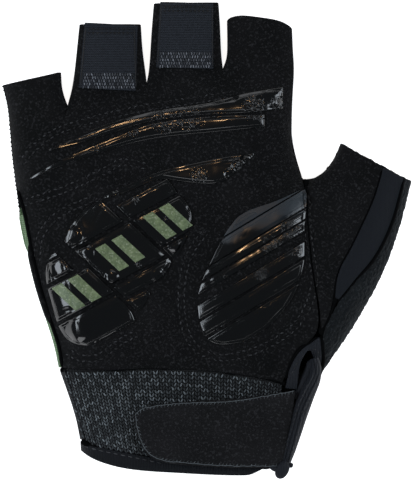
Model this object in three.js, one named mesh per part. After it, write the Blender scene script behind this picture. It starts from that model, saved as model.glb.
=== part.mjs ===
import * as THREE from 'three';

// A fingerless cycling glove for the right hand, lying palm up with its fingers towards +Y and its
// thumb towards +X. The back of the hand rests on the plane z = 0. Lengths are millimetres.
// Places in the tables are shares: x of glove_spread, y of glove_length, both from the middle.

// Driving sizes
const glove_length = 167;
const glove_spread = 143.5;
const palm_height = 19.5;
const seam_height = 7.5;
const edge_round = 10;
const palm_round = 36;
const palm_droop = 3.6;
const underside_round = 7;
const seam_gap = 0.3;
const sewn_seam = 0.6;
const panel_wall = 1.3;
const side_inset = 2;
const cuff_inset = 2.2;
const side_strip_width = 5;
const side_strip_bulge = 0.3;
const pad_rise = 1.6;
const pad_ramp = 4;
const grip_thickness = 1;
const grip_clearance = 0.35;
const mark_thickness = 0.6;
const mark_length = 11.5;
const mark_width = 4;
const mark_spacing = 6.4;
const tab_thickness = 1.1;
const tab_length = 23;
const tab_width = 18.6;
const strap_thickness = 1.8;
const strap_clearance = 0.4;
const binding_wall = 1.6;
const slit_tape_wall = 1.8;
const closure_width = 6.4;
const closure_height = 4.6;

// Colours
const leather = new THREE.MeshStandardMaterial({ color: 0x16171a, roughness: 0.85, metalness: 0 });
const lycra = new THREE.MeshStandardMaterial({ color: 0x1c1f24, roughness: 0.6, metalness: 0 });
const slate_knit = new THREE.MeshStandardMaterial({ color: 0x23272c, roughness: 0.8, metalness: 0 });
const fleece = new THREE.MeshStandardMaterial({ color: 0x202428, roughness: 0.95, metalness: 0 });
const green_knit = new THREE.MeshStandardMaterial({ color: 0x61735c, roughness: 0.8, metalness: 0 });
const heather_knit = new THREE.MeshStandardMaterial({ color: 0x2d3133, roughness: 0.95, metalness: 0 });
const navy_tape = new THREE.MeshStandardMaterial({ color: 0x20252d, roughness: 0.75, metalness: 0 });
const grip_gloss = new THREE.MeshStandardMaterial({ color: 0x101211, roughness: 0.15, metalness: 0 });
const olive_print = new THREE.MeshStandardMaterial({ color: 0x66765c, roughness: 0.5, metalness: 0 });

// Outline curves, each a short table of places from the fingers towards the wrist
const little_side_rows = [
  { x: -0.501, y: 0.325 }, { x: -0.488, y: 0.277 }, { x: -0.476, y: 0.165 },
  { x: -0.458, y: 0.052 }, { x: -0.434, y: -0.047 }, { x: -0.407, y: -0.137 },
  { x: -0.373, y: -0.226 }, { x: -0.364, y: -0.268 }, { x: -0.334, y: -0.341 },
  { x: -0.315, y: -0.4 }, { x: -0.31, y: -0.442 },
];
const little_inner_rows = [{ x: -0.358, y: 0.352 }, { x: -0.357, y: 0.319 }, { x: -0.341, y: 0.279 }];
const ring_outer_rows = [
  { x: -0.311, y: 0.453 }, { x: -0.318, y: 0.394 }, { x: -0.324, y: 0.336 }, { x: -0.341, y: 0.279 },
];
const ring_inner_rows = [
  { x: -0.163, y: 0.453 }, { x: -0.161, y: 0.409 }, { x: -0.154, y: 0.367 }, { x: -0.148, y: 0.325 },
];
const middle_outer_rows = [
  { x: -0.129, y: 0.497 }, { x: -0.137, y: 0.409 }, { x: -0.14, y: 0.357 }, { x: -0.148, y: 0.325 },
];
const middle_inner_rows = [
  { x: 0.027, y: 0.499 }, { x: 0.031, y: 0.451 }, { x: 0.032, y: 0.403 }, { x: 0.038, y: 0.357 },
];
const index_outer_rows = [
  { x: 0.05, y: 0.462 }, { x: 0.051, y: 0.42 }, { x: 0.051, y: 0.385 }, { x: 0.038, y: 0.357 },
];
const index_side_rows = [
  { x: 0.207, y: 0.445 }, { x: 0.209, y: 0.399 }, { x: 0.212, y: 0.361 }, { x: 0.208, y: 0.298 },
  { x: 0.206, y: 0.235 }, { x: 0.209, y: 0.172 }, { x: 0.223, y: 0.138 }, { x: 0.24, y: 0.122 },
];
const thumb_web_rows = [
  { x: 0.328, y: 0.203 }, { x: 0.316, y: 0.176 }, { x: 0.299, y: 0.153 }, { x: 0.279, y: 0.132 },
  { x: 0.259, y: 0.127 }, { x: 0.24, y: 0.122 },
];
const thumb_side_rows = [
  { x: 0.501, y: 0.123 }, { x: 0.487, y: 0.073 }, { x: 0.469, y: 0.018 }, { x: 0.45, y: -0.032 },
  { x: 0.423, y: -0.087 }, { x: 0.394, y: -0.133 }, { x: 0.36, y: -0.183 }, { x: 0.321, y: -0.232 },
  { x: 0.284, y: -0.274 }, { x: 0.255, y: -0.324 }, { x: 0.242, y: -0.374 }, { x: 0.23, y: -0.416 },
  { x: 0.216, y: -0.452 }, { x: 0.206, y: -0.48 },
];

// Seam curves on the palm side
const palm_thumb_seam_rows = [
  { x: 0.24, y: 0.122 }, { x: 0.245, y: 0.052 }, { x: 0.25, y: -0.011 }, { x: 0.259, y: -0.074 },
  { x: 0.272, y: -0.137 }, { x: 0.277, y: -0.198 },
];
const slit_edge_rows = [
  { x: 0.277, y: -0.198 }, { x: 0.252, y: -0.216 }, { x: 0.228, y: -0.228 }, { x: 0.206, y: -0.257 },
  { x: 0.186, y: -0.299 },
];
const slit_thumb_edge_rows = [
  { x: 0.277, y: -0.198 }, { x: 0.281, y: -0.225 }, { x: 0.284, y: -0.257 }, { x: 0.269, y: -0.292 },
  { x: 0.249, y: -0.324 },
];
const thumb_inner_seam_rows = [
  { x: 0.428, y: 0.151 }, { x: 0.408, y: 0.09 }, { x: 0.377, y: 0.031 }, { x: 0.345, y: -0.026 },
  { x: 0.318, y: -0.064 }, { x: 0.311, y: -0.101 }, { x: 0.308, y: -0.14 }, { x: 0.277, y: -0.198 },
];
const thumb_outer_seam_rows = [
  { x: 0.482, y: 0.13 }, { x: 0.455, y: 0.046 }, { x: 0.43, y: -0.005 }, { x: 0.401, y: -0.047 },
  { x: 0.369, y: -0.076 }, { x: 0.342, y: -0.106 }, { x: 0.308, y: -0.14 },
];
const cuff_seam_rows = [
  { x: -0.366, y: -0.269 }, { x: -0.261, y: -0.273 }, { x: -0.139, y: -0.27 }, { x: -0.016, y: -0.273 },
  { x: 0.081, y: -0.282 }, { x: 0.186, y: -0.299 },
];
const cuff_slit_edge_rows = [{ x: 0.183, y: -0.303 }, { x: 0.163, y: -0.474 }];
const binding_top_rows = [
  { x: -0.31, y: -0.423 }, { x: -0.261, y: -0.433 }, { x: -0.163, y: -0.45 }, { x: -0.041, y: -0.465 },
  { x: 0.057, y: -0.471 }, { x: 0.166, y: -0.476 },
];
const wrist_edge_rows = [
  { x: -0.31, y: -0.442 }, { x: -0.285, y: -0.457 }, { x: -0.236, y: -0.473 }, { x: -0.175, y: -0.483 },
  { x: -0.065, y: -0.489 }, { x: 0.045, y: -0.494 }, { x: 0.12, y: -0.494 }, { x: 0.166, y: -0.49 },
];

// End of the wrist binding on the underside, from its top edge to its lower edge
const binding_end_rows = [{ x: 0.213, y: -0.458 }, { x: 0.203, y: -0.484 }];

// Seam of the back panels on the underside, from the thumb crotch to the wrist
const back_seam_rows = [
  { x: 0.24, y: 0.118 }, { x: 0.24, y: 0.041 }, { x: 0.24, y: -0.064 }, { x: 0.237, y: -0.169 },
  { x: 0.23, y: -0.24 }, { x: 0.223, y: -0.317 },
];

// Heights of the palm side along the glove, as shares of palm_height
const crown_rows = [
  { y: 0.5, height: 0.72 }, { y: 0.33, height: 0.76 }, { y: 0.24, height: 0.9 }, { y: 0.05, height: 1 },
  { y: -0.15, height: 1.08 }, { y: -0.27, height: 0.96 }, { y: -0.4, height: 0.84 }, { y: -0.5, height: 0.8 },
];

// Dents of the palm side: a trough at x and y, turned by an angle in degrees, its half length and
// half width as shares of glove_length and its depth as a share of palm_height
const dent_rows = [
  { x: -0.06, y: -0.14, angle: 100, length: 0.14, width: 0.035, depth: 0.08 },
  { x: 0.2, y: -0.235, angle: 50, length: 0.06, width: 0.03, depth: 0.09 },
  { x: -0.04, y: 0.17, angle: 14, length: 0.2, width: 0.02, depth: 0.04 },
  { x: 0.25, y: 0.06, angle: 80, length: 0.08, width: 0.03, depth: 0.06 },
  { x: -0.2, y: -0.275, angle: 0, length: 0.16, width: 0.018, depth: 0.05 },
];

// Outlines of the padded fields, going round, and of the lenses of grip on them
const heel_pad_rows = [
  { x: -0.392, y: -0.053 }, { x: -0.352, y: 0.007 }, { x: -0.262, y: 0.092 }, { x: -0.114, y: 0.137 },
  { x: -0.072, y: 0.098 }, { x: -0.033, y: 0.054 }, { x: -0.047, y: 0.012 }, { x: -0.078, y: -0.042 },
  { x: -0.13, y: -0.1 }, { x: -0.2, y: -0.198 }, { x: -0.268, y: -0.221 }, { x: -0.322, y: -0.222 },
  { x: -0.356, y: -0.193 }, { x: -0.378, y: -0.136 }, { x: -0.392, y: -0.09 },
];
const thumb_pad_rows = [
  { x: 0.238, y: 0.108 }, { x: 0.24, y: 0.03 }, { x: 0.237, y: -0.046 }, { x: 0.218, y: -0.102 },
  { x: 0.178, y: -0.158 }, { x: 0.105, y: -0.207 }, { x: 0.045, y: -0.221 }, { x: 0.003, y: -0.211 },
  { x: -0.017, y: -0.18 }, { x: -0.025, y: -0.127 }, { x: -0.015, y: -0.089 }, { x: 0.012, y: -0.04 },
  { x: 0.038, y: 0.004 }, { x: 0.08, y: 0.052 }, { x: 0.135, y: 0.072 }, { x: 0.2, y: 0.088 },
];
const knuckle_pad_rows = [
  { x: -0.434, y: 0.128 }, { x: -0.39, y: 0.192 }, { x: -0.284, y: 0.235 }, { x: -0.139, y: 0.268 },
  { x: 0.02, y: 0.29 }, { x: 0.19, y: 0.32 }, { x: 0.185, y: 0.26 }, { x: 0.14, y: 0.236 },
  { x: 0, y: 0.225 }, { x: -0.139, y: 0.212 }, { x: -0.26, y: 0.185 }, { x: -0.36, y: 0.145 },
];

// Curves and their measures
const curve_steps = 72;
const place = (row) => new THREE.Vector2(row.x * glove_spread, row.y * glove_length);

function curve(rows, closed = false) {
  const points = rows.map((row) => new THREE.Vector3(place(row).x, place(row).y, 0));
  const spline = new THREE.CatmullRomCurve3(points, closed, 'centripetal');
  return spline.getSpacedPoints(curve_steps).map((p) => new THREE.Vector2(p.x, p.y));
}

function along(line, t) {
  const step = Math.min(Math.max(t, 0), 1) * (line.length - 1);
  const i = Math.min(Math.floor(step), line.length - 2);
  return line[i].clone().lerp(line[i + 1], step - i);
}

function resample(line) {
  const lengths = [0];
  for (let i = 1; i < line.length; i += 1) lengths.push(lengths[i - 1] + line[i].distanceTo(line[i - 1]));
  const total = lengths[lengths.length - 1];
  const out = [];
  let i = 0;
  for (let k = 0; k <= curve_steps; k += 1) {
    const goal = (total * k) / curve_steps;
    while (i < line.length - 2 && lengths[i + 1] < goal) i += 1;
    const span = lengths[i + 1] - lengths[i];
    out.push(line[i].clone().lerp(line[i + 1], span > 0 ? (goal - lengths[i]) / span : 0));
  }
  return out;
}

const joined = (...lines) => resample(lines.flat());
const reversed = (line) => line.slice().reverse();
const portion = (line, from, to) => resample(Array.from({ length: curve_steps + 1 },
  (_, i) => along(line, from + ((to - from) * i) / curve_steps)));

// Share of a line at which it is nearest to a point
function share_near(line, point) {
  let best = 0;
  let least = Infinity;
  for (let i = 0; i <= 4 * curve_steps; i += 1) {
    const t = i / (4 * curve_steps);
    const distance = along(line, t).distanceTo(point);
    if (distance < least) {
      least = distance;
      best = t;
    }
  }
  return best;
}

// The same stations, with the nearest one moved to a share at which an edge has a corner
function through(stations, share) {
  const nearest = stations.reduce((best, t) => (Math.abs(t - share) < Math.abs(best - share) ? t : best));
  return stations.map((t) => (t === nearest ? share : t));
}

// Moves a line sideways, to the left of its direction when the distance is positive
function shifted(line, distance) {
  return line.map((point, i) => {
    const before = line[Math.max(i - 1, 0)];
    const after = line[Math.min(i + 1, line.length - 1)];
    const way = after.clone().sub(before).normalize();
    const amount = typeof distance === 'function' ? distance(i / (line.length - 1)) : distance;
    return new THREE.Vector2(point.x - way.y * amount, point.y + way.x * amount);
  });
}

function distance_to(line, x, y) {
  let least = Infinity;
  for (let i = 1; i < line.length; i += 1) {
    const a = line[i - 1];
    const b = line[i];
    const dx = b.x - a.x;
    const dy = b.y - a.y;
    const size = dx * dx + dy * dy;
    const t = size > 0 ? Math.min(Math.max(((x - a.x) * dx + (y - a.y) * dy) / size, 0), 1) : 0;
    least = Math.min(least, Math.hypot(x - a.x - t * dx, y - a.y - t * dy));
  }
  return least;
}

function inside(line, x, y) {
  let odd = false;
  for (let i = 0, j = line.length - 1; i < line.length; j = i, i += 1) {
    const a = line[i];
    const b = line[j];
    if (a.y > y !== b.y > y && x < ((b.x - a.x) * (y - a.y)) / (b.y - a.y) + a.x) odd = !odd;
  }
  return odd;
}

const little_side = curve(little_side_rows);
const little_inner = curve(little_inner_rows);
const ring_outer = curve(ring_outer_rows);
const ring_inner = curve(ring_inner_rows);
const middle_outer = curve(middle_outer_rows);
const middle_inner = curve(middle_inner_rows);
const index_outer = curve(index_outer_rows);
const index_side = curve(index_side_rows);
const thumb_web = curve(thumb_web_rows);
const thumb_side = curve(thumb_side_rows);

// The form of the whole glove: a palm side and an underside over the same outline
const half_strip = side_strip_width / 2;
const form_lines = [
  { line: little_side, lift: 0 },
  { line: little_inner, lift: half_strip }, { line: ring_outer, lift: half_strip },
  { line: ring_inner, lift: half_strip }, { line: middle_outer, lift: half_strip },
  { line: middle_inner, lift: half_strip }, { line: index_outer, lift: half_strip },
  { line: index_side, lift: half_strip }, { line: thumb_web, lift: half_strip },
  { line: thumb_side, lift: 0 },
];
const pads = [heel_pad_rows, thumb_pad_rows, knuckle_pad_rows].map((rows) => curve(rows, true));
const roundness = 2.2;
const dome = (t) => (1 - (1 - Math.min(Math.max(t, 0), 1)) ** roundness) ** (1 / roundness);
const smooth = (t) => {
  const c = Math.min(Math.max(t, 0), 1);
  return c * c * (3 - 2 * c);
};

function crown(y) {
  const share = y / glove_length;
  if (share >= crown_rows[0].y) return crown_rows[0].height * palm_height;
  for (let i = 1; i < crown_rows.length; i += 1) {
    const above = crown_rows[i - 1];
    const below = crown_rows[i];
    if (share >= below.y) {
      const t = smooth((share - below.y) / (above.y - below.y));
      return (below.height + (above.height - below.height) * t) * palm_height;
    }
  }
  return crown_rows[crown_rows.length - 1].height * palm_height;
}

function relief(x, y) {
  let rise = 0;
  for (const pad of pads) {
    if (inside(pad, x, y)) rise = Math.max(rise, pad_rise * smooth(distance_to(pad, x, y) / pad_ramp));
  }
  for (const dent of dent_rows) {
    const turn = THREE.MathUtils.degToRad(dent.angle);
    const dx = x - dent.x * glove_spread;
    const dy = y - dent.y * glove_length;
    const u = (dx * Math.cos(turn) + dy * Math.sin(turn)) / (dent.length * glove_length);
    const v = (dy * Math.cos(turn) - dx * Math.sin(turn)) / (dent.width * glove_length);
    rise -= dent.depth * palm_height * Math.exp(-u * u - v * v);
  }
  return rise;
}

// Height of the glove's outer face at a place, on the palm side or on the underside
function height(x, y, palm_side) {
  const distances = form_lines.map(({ line }) => distance_to(line, x, y));
  const nearest = Math.min(...distances);
  if (!palm_side) {
    return Math.max(...form_lines.map(({ lift }, i) =>
      (seam_height - lift) * (1 - dome(distances[i] / underside_round))));
  }
  const top = crown(y) - palm_droop * (1 - dome(nearest / palm_round))
    + relief(x, y) * smooth(nearest / edge_round);
  return Math.min(...form_lines.map(({ lift }, i) => {
    const edge = seam_height + lift;
    return edge + (top - edge) * dome(distances[i] / edge_round);
  }));
}

const slope_step = 0.4;
function normal_at(x, y, palm_side = true) {
  const across = height(x - slope_step, y, palm_side) - height(x + slope_step, y, palm_side);
  const lengthways = height(x, y - slope_step, palm_side) - height(x, y + slope_step, palm_side);
  const normal = new THREE.Vector3(across, lengthways, 2 * slope_step).normalize();
  return palm_side ? normal : normal.negate();
}

// Corners of a panel, shared by the faces beside them. A corner away from the outline keeps the
// form's own normal, so that two panels with a seam between them have parallel walls there.
function corner(point, palm_side, rim = false) {
  const z = height(point.x, point.y, palm_side) + (rim ? (palm_side ? 1 : -1) * (seam_gap / 2) : 0);
  const from_side = Math.min(...form_lines.map(({ line }) => distance_to(line, point.x, point.y)));
  const normal = !rim && from_side > slope_step ? normal_at(point.x, point.y, palm_side) : null;
  return { at: new THREE.Vector3(point.x, point.y, z), rim, normal };
}

function raised(point, lift) {
  const surface = new THREE.Vector3(point.x, point.y, height(point.x, point.y, true));
  return surface.addScaledVector(normal_at(point.x, point.y), lift);
}

// Faces of a grid of corners, given in rows, with its outer side up or down
function grid_faces(rows, facing_up) {
  const faces = [];
  for (let i = 0; i + 1 < rows.length; i += 1) {
    for (let j = 0; j + 1 < rows[i].length; j += 1) {
      const face = [rows[i][j], rows[i][j + 1], rows[i + 1][j + 1], rows[i + 1][j]];
      faces.push(facing_up ? face : face.reverse());
    }
  }
  return faces;
}

function split(face) {
  const ring = face.filter((item, i) => item !== face[(i + face.length - 1) % face.length]);
  const triangles = [];
  for (let i = 1; i + 1 < ring.length; i += 1) triangles.push([ring[0], ring[i], ring[i + 1]]);
  return triangles;
}

function geometry_of(positions, triangles) {
  const geometry = new THREE.BufferGeometry();
  const values = positions.flatMap((p) => [p.x, p.y, p.z]);
  geometry.setAttribute('position', new THREE.Float32BufferAttribute(values, 3));
  geometry.setIndex(triangles.flat());
  geometry.computeVertexNormals();
  return geometry;
}

// Closed wall from an open skin: the skin, a copy moved inwards by the wall, and rims between them
function walled(faces, wall) {
  const corners = [...new Set(faces.flat())];
  const index = new Map(corners.map((item, i) => [item, i]));
  const triangles = faces.flatMap(split).map((triangle) => triangle.map((item) => index.get(item)));
  const normals = corners.map(() => new THREE.Vector3());
  const side_a = new THREE.Vector3();
  const side_b = new THREE.Vector3();
  for (const [a, b, c] of triangles) {
    side_a.subVectors(corners[b].at, corners[a].at);
    side_b.subVectors(corners[c].at, corners[a].at);
    const across = side_a.clone().cross(side_b);
    for (const i of [a, b, c]) normals[i].add(across);
  }
  const count = corners.length;
  const inner = corners.map((item, i) => {
    if (item.rim) normals[i].z = 0;
    if (item.normal) normals[i].copy(item.normal);
    return item.at.clone().addScaledVector(normals[i].normalize(), -wall);
  });
  const solid = [...triangles];
  for (const [a, b, c] of triangles) solid.push([c + count, b + count, a + count]);
  const edges = new Set();
  const next = (triangle, i) => triangle[(i + 1) % 3];
  for (const triangle of triangles) triangle.forEach((a, i) => edges.add(`${a} ${next(triangle, i)}`));
  for (const triangle of triangles) {
    triangle.forEach((a, i) => {
      const b = next(triangle, i);
      if (!edges.has(`${b} ${a}`)) solid.push([b, a, a + count], [b, a + count, b + count]);
    });
  }
  return geometry_of([...corners.map((item) => item.at), ...inner], solid);
}

// Closed block from two grids of the same size, the lower one under the upper one
function between(lower, upper) {
  const rows = upper.length;
  const columns = upper[0].length;
  const count = rows * columns;
  const id = (i, j) => i * columns + j;
  const triangles = [];
  const quad = (a, b, c, d) => triangles.push([a, b, c], [a, c, d]);
  for (let i = 0; i + 1 < rows; i += 1) {
    for (let j = 0; j + 1 < columns; j += 1) {
      quad(id(i, j), id(i, j + 1), id(i + 1, j + 1), id(i + 1, j));
      quad(count + id(i + 1, j), count + id(i + 1, j + 1), count + id(i, j + 1), count + id(i, j));
    }
  }
  const rim = [];
  for (let j = 0; j + 1 < columns; j += 1) rim.push(id(0, j));
  for (let i = 0; i + 1 < rows; i += 1) rim.push(id(i, columns - 1));
  for (let j = columns - 1; j > 0; j -= 1) rim.push(id(rows - 1, j));
  for (let i = rows - 1; i > 0; i -= 1) rim.push(id(i, 0));
  rim.forEach((a, k) => {
    const b = rim[(k + 1) % rim.length];
    quad(b, a, a + count, b + count);
  });
  return geometry_of([...upper.flat(), ...lower.flat()], triangles);
}

// Spacings from 0 to 1, fine at both ends, at the first end or at the last end
const even = (count) => Array.from({ length: count + 1 }, (_, i) => i / count);
const fine_both = (count) => even(count).map((t) => (1 - Math.cos(Math.PI * t)) / 2);
const fine_first = (count) => even(count).map((t) => 1 - Math.cos((Math.PI * t) / 2));
const fine_last = (count) => even(count).map((t) => Math.sin((Math.PI * t) / 2));

// Grid of places between two lines
const ruled = (left, right, rows, columns) => rows.map((t) => {
  const a = along(left, t);
  const b = along(right, t);
  return columns.map((s) => a.clone().lerp(b, s));
});

// Place inside four bounding lines, s across from left to right and t up from the low line
function bounded(left, right, low, high, s, t) {
  const ends = (line, share) => line[0].clone().lerp(line[line.length - 1], share);
  const sides = along(left, t).lerp(along(right, t), s);
  const levels = along(low, s).lerp(along(high, s), t);
  return sides.add(levels).sub(ends(low, s).lerp(ends(high, s), t));
}

const glove = new THREE.Group();
function add(name, geometry, material) {
  const mesh = new THREE.Mesh(geometry, material);
  mesh.name = name;
  glove.add(mesh);
}

// Seams of the palm side and where they divide the outline
const palm_thumb_seam = curve(palm_thumb_seam_rows);
const slit_edge = curve(slit_edge_rows);
const slit_thumb_edge = curve(slit_thumb_edge_rows);
const thumb_inner_seam = curve(thumb_inner_seam_rows);
const thumb_outer_seam = curve(thumb_outer_seam_rows);
const cuff_seam = curve(cuff_seam_rows);
const binding_top = curve(binding_top_rows);
const wrist_edge = curve(wrist_edge_rows);
const back_seam = curve(back_seam_rows);
const half_gap = seam_gap / 2;
const half_seam = sewn_seam / 2;

const root_share = share_near(little_side, place(little_side_rows[1]));
const knuckle_share = share_near(little_side, place(little_side_rows[3]));
const cuff_share = share_near(little_side, cuff_seam[0]);
const binding_share = share_near(little_side, binding_top[0]);
const index_root_share = share_near(index_side, place(index_side_rows[2]));
const index_knuckle_share = 0.985;
const slit_foot_share = share_near(thumb_side, place(thumb_side_rows[9]));
const closure_foot_share = share_near(thumb_side, place(thumb_side_rows[12]));

// Fingers from the little finger to the index finger: the lines of their two sides
const fingers = [
  { name: 'little', left: portion(little_side, root_share, 0), right: reversed(little_inner) },
  { name: 'ring', left: reversed(ring_outer), right: reversed(ring_inner) },
  { name: 'middle', left: reversed(middle_outer), right: reversed(middle_inner) },
  { name: 'index', left: reversed(index_outer), right: portion(index_side, index_root_share, 0) },
];

// How far the palm leather stops short of the little finger side, where the back panel comes
// round: nothing by the finger, then side_inset, and a little less by the wrist
const inset_start = 0.25;
const inset_ease_off = 0.8;
const inset_ramp = 0.2;
const inset_loss = 0.35;
const inset_at = (t) => side_inset * smooth((t - inset_start) / inset_ramp)
  * (1 - inset_loss * smooth((t - inset_ease_off) / inset_ramp));

const finger_columns = 6;
const finger_rows = [0.06, 0.2, 0.45, 0.72, 1];

// Comb of panels: a hand field below the finger roots and four finger fields above them
function comb(hand_left, hand_right, hand_bottom, hand_rows, palm_side, edge_rims) {
  const root_stations = fingers.flatMap(({ left, right }, k) => fine_both(finger_columns)
    .slice(k === 0 ? 0 : 1).map((s) => left[0].clone().lerp(right[0], s)));
  const last = root_stations.length - 1;
  const shares = root_stations.map((point) =>
    (point.x - root_stations[0].x) / (root_stations[last].x - root_stations[0].x));
  const hand = hand_rows.map((t) => shares.map((s, j) => {
    if (t === 1) return root_stations[j];
    const high = [root_stations[0], root_stations[j], root_stations[last]];
    const sides = along(hand_left, t).lerp(along(hand_right, t), s);
    const levels = along(hand_bottom, s).lerp(high[1], t);
    const low_end = hand_bottom[0].clone().lerp(hand_bottom[hand_bottom.length - 1], s);
    return sides.add(levels).sub(low_end.lerp(high[0].clone().lerp(high[2], s), t));
  }));
  const crotch = (j) => j > 0 && j < last && j % finger_columns === 0;
  const grid = hand.map((row, i) => row.map((point, j) => {
    const at_left = j === 0 && edge_rims.left(hand_rows[i]);
    const at_right = j === last && edge_rims.right(hand_rows[i]);
    const at_root = hand_rows[i] === 1 && (crotch(j) || j === 0 || j === last);
    return corner(point, palm_side, at_left || at_right || at_root);
  }));
  const faces = grid_faces(grid, palm_side);
  const root = grid[grid.length - 1];
  fingers.forEach(({ left, right }, k) => {
    const field = ruled(left, right, finger_rows, fine_both(finger_columns));
    const rows = field.map((row) => row.map((point, j) =>
      corner(point, palm_side, j === 0 || j === finger_columns)));
    rows.unshift(root.slice(k * finger_columns, (k + 1) * finger_columns + 1));
    faces.push(...grid_faces(rows, palm_side));
  });
  return faces;
}

// Palm leather, one piece from the cuff seam to the finger openings
const hand_side = portion(little_side, cuff_share, root_share);
const palm_left = shifted(hand_side, (t) => -inset_at(1 - t));
const crotch_trim = 0.985;
const palm_right = joined(reversed(shifted(slit_edge, -half_seam)),
  reversed(shifted(palm_thumb_seam, -half_seam)), portion(index_side, crotch_trim, index_root_share));
const crotch_share = share_near(palm_right, along(index_side, crotch_trim));
const palm_bottom = joined([palm_left[0]], portion(cuff_seam, 0.02, 0.98), [palm_right[0]]);
const palm_rows = through(
  [0, 0.05, 0.12, 0.19, 0.26, 0.33, 0.4, 0.47, 0.54, 0.61, 0.68, 0.75, 0.82, 0.89, 0.95, 1], crotch_share);
const palm_rims = {
  left: (t) => t >= 1 - inset_start,
  right: (t) => t >= crotch_share,
};
const palm_faces = comb(palm_left, palm_right, palm_bottom, palm_rows, true, palm_rims);
add('palm_panel', walled(palm_faces, panel_wall), leather);

// Back of the hand: the green knit comes round the little finger side to meet the palm leather
const straight = (a, b) => resample([a, b]);
const wrap_columns = fine_last(3);
const under_columns = fine_both(8);
const back_rows = even(8);
const back_side = portion(little_side, cuff_share, knuckle_share);
const back_inner = shifted(back_side, (t) => {
  const on_palm = cuff_share + (knuckle_share - cuff_share) * t;
  return -Math.max(inset_at(1 - (on_palm - cuff_share) / (root_share - cuff_share)) - 2 * half_seam, 0);
});
const back_right = shifted(reversed(back_seam), half_gap);
const under_row = (a, b, columns) => columns.map((s) => corner(a.clone().lerp(b, s), false));

function wrapped_row(inner, side, far) {
  const over = wrap_columns.map((s) => corner(inner.clone().lerp(side, s), true));
  return [...over, ...under_row(side, far, under_columns).slice(1)];
}
const back_hand_rows = back_rows.map((t) =>
  wrapped_row(along(back_inner, t), along(back_side, t), along(back_right, t)));
add('back_hand', walled(grid_faces(back_hand_rows, false), panel_wall), green_knit);

// Backs of the fingers, one stretch panel
const knuckle_seam_share = 0.006;
const finger_side = portion(little_side, knuckle_share - knuckle_seam_share, root_share);
const knuckle_right = portion(index_side, index_knuckle_share, index_root_share);
const knuckle_line = shifted(
  straight(back_side[curve_steps], along(index_side, index_knuckle_share)), 2 * half_seam);
const finger_back_rows = [0, 0.35, 0.65, 0.85, 1];
const all_rims = { left: () => true, right: () => true };
const back_fingers = comb(finger_side, knuckle_right, knuckle_line, finger_back_rows, false, all_rims);
add('back_fingers', walled(back_fingers, panel_wall), lycra);

// Strips that close the sides of the fingers, from one opening round the crotch to the next
function side_strip(line, stations) {
  const levels = [-half_strip + half_gap, 0, half_strip - half_gap];
  const bulge = [0, side_strip_bulge, 0];
  const rows = stations.map((t) => {
    const at = along(line, t);
    const ahead = along(line, Math.min(t + 0.01, 1)).sub(along(line, Math.max(t - 0.01, 0))).normalize();
    return levels.map((level, k) => ({
      at: new THREE.Vector3(at.x - ahead.y * bulge[k], at.y + ahead.x * bulge[k], seam_height + level),
      rim: true,
    }));
  });
  return walled(grid_faces(rows, true), panel_wall);
}
const strip_stations = [0, 0.2, 0.36, 0.44, 0.48, 0.5, 0.52, 0.56, 0.64, 0.8, 1];
const strip_names = ['side_strip_little_ring', 'side_strip_ring_middle', 'side_strip_middle_index'];
strip_names.forEach((name, k) => {
  const crotch_line = [...resample(reversed(fingers[k].right)), ...resample(fingers[k + 1].left)];
  add(name, side_strip(crotch_line, strip_stations), slate_knit);
});
const thumb_crotch_line = joined(index_side, reversed(thumb_web));
add('side_strip_index_thumb', side_strip(thumb_crotch_line, even(18)), slate_knit);

// Thumb: leather over its palm side, a smooth strip, and a fleecy back that runs on to the wrist
const web_trim = 0.04;
const thumb_palm_left = joined(portion(shifted(reversed(palm_thumb_seam), -half_seam), 0.04, 0.985),
  portion(reversed(thumb_web), web_trim, 1));
const thumb_palm_right = portion(shifted(reversed(thumb_inner_seam), half_seam), 0.04, 1);
const web_from = share_near(thumb_palm_left, along(reversed(thumb_web), web_trim));
const thumb_rows = through([0, 0.1, 0.2, 0.3, 0.4, 0.5, 0.6, 0.68, 0.76, 0.84, 0.92, 1], web_from);
const thumb_palm_grid = ruled(thumb_palm_left, thumb_palm_right, thumb_rows, fine_first(5)).map((row, i) =>
  row.map((point, j) => corner(point, true, j === 0 && thumb_rows[i] >= web_from)));
add('thumb_palm', walled(grid_faces(thumb_palm_grid, true), panel_wall), leather);

const strip_foot = share_near(thumb_inner_seam, thumb_outer_seam[curve_steps]);
const thumb_strip_left = portion(
  shifted(reversed(portion(thumb_inner_seam, 0, strip_foot)), -half_seam), 0.06, 1);
const thumb_strip_right = portion(shifted(reversed(thumb_outer_seam), half_seam), 0.06, 1);
const thumb_strip_grid = ruled(thumb_strip_left, thumb_strip_right, even(9), even(2))
  .map((row) => row.map((point) => corner(point, true)));
add('thumb_strip', walled(grid_faces(thumb_strip_grid, true), panel_wall), lycra);

const thumb_back_inner = joined(shifted(reversed(slit_thumb_edge), -half_seam),
  shifted(reversed(portion(thumb_inner_seam, strip_foot, 1)), -half_seam),
  shifted(reversed(thumb_outer_seam), -half_seam));
const thumb_back_side = reversed(portion(thumb_side, 0, slit_foot_share));
const thumb_back_far = joined(shifted(reversed(back_seam), -half_gap), reversed(thumb_web));
const far_web_from = share_near(thumb_back_far, thumb_web[curve_steps]);
const thumb_back_rows = even(12).map((t) => {
  const over = fine_last(4).map((s) =>
    corner(along(thumb_back_inner, t).lerp(along(thumb_back_side, t), s), true));
  const under = fine_both(6).slice(1).map((s, j, all) => {
    const at_web = j === all.length - 1 && t > far_web_from;
    return corner(along(thumb_back_side, t).lerp(along(thumb_back_far, t), s), false, at_web);
  });
  return [...over, ...under];
});
add('thumb_back', walled(grid_faces(thumb_back_rows, true), panel_wall), fleece);

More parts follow.
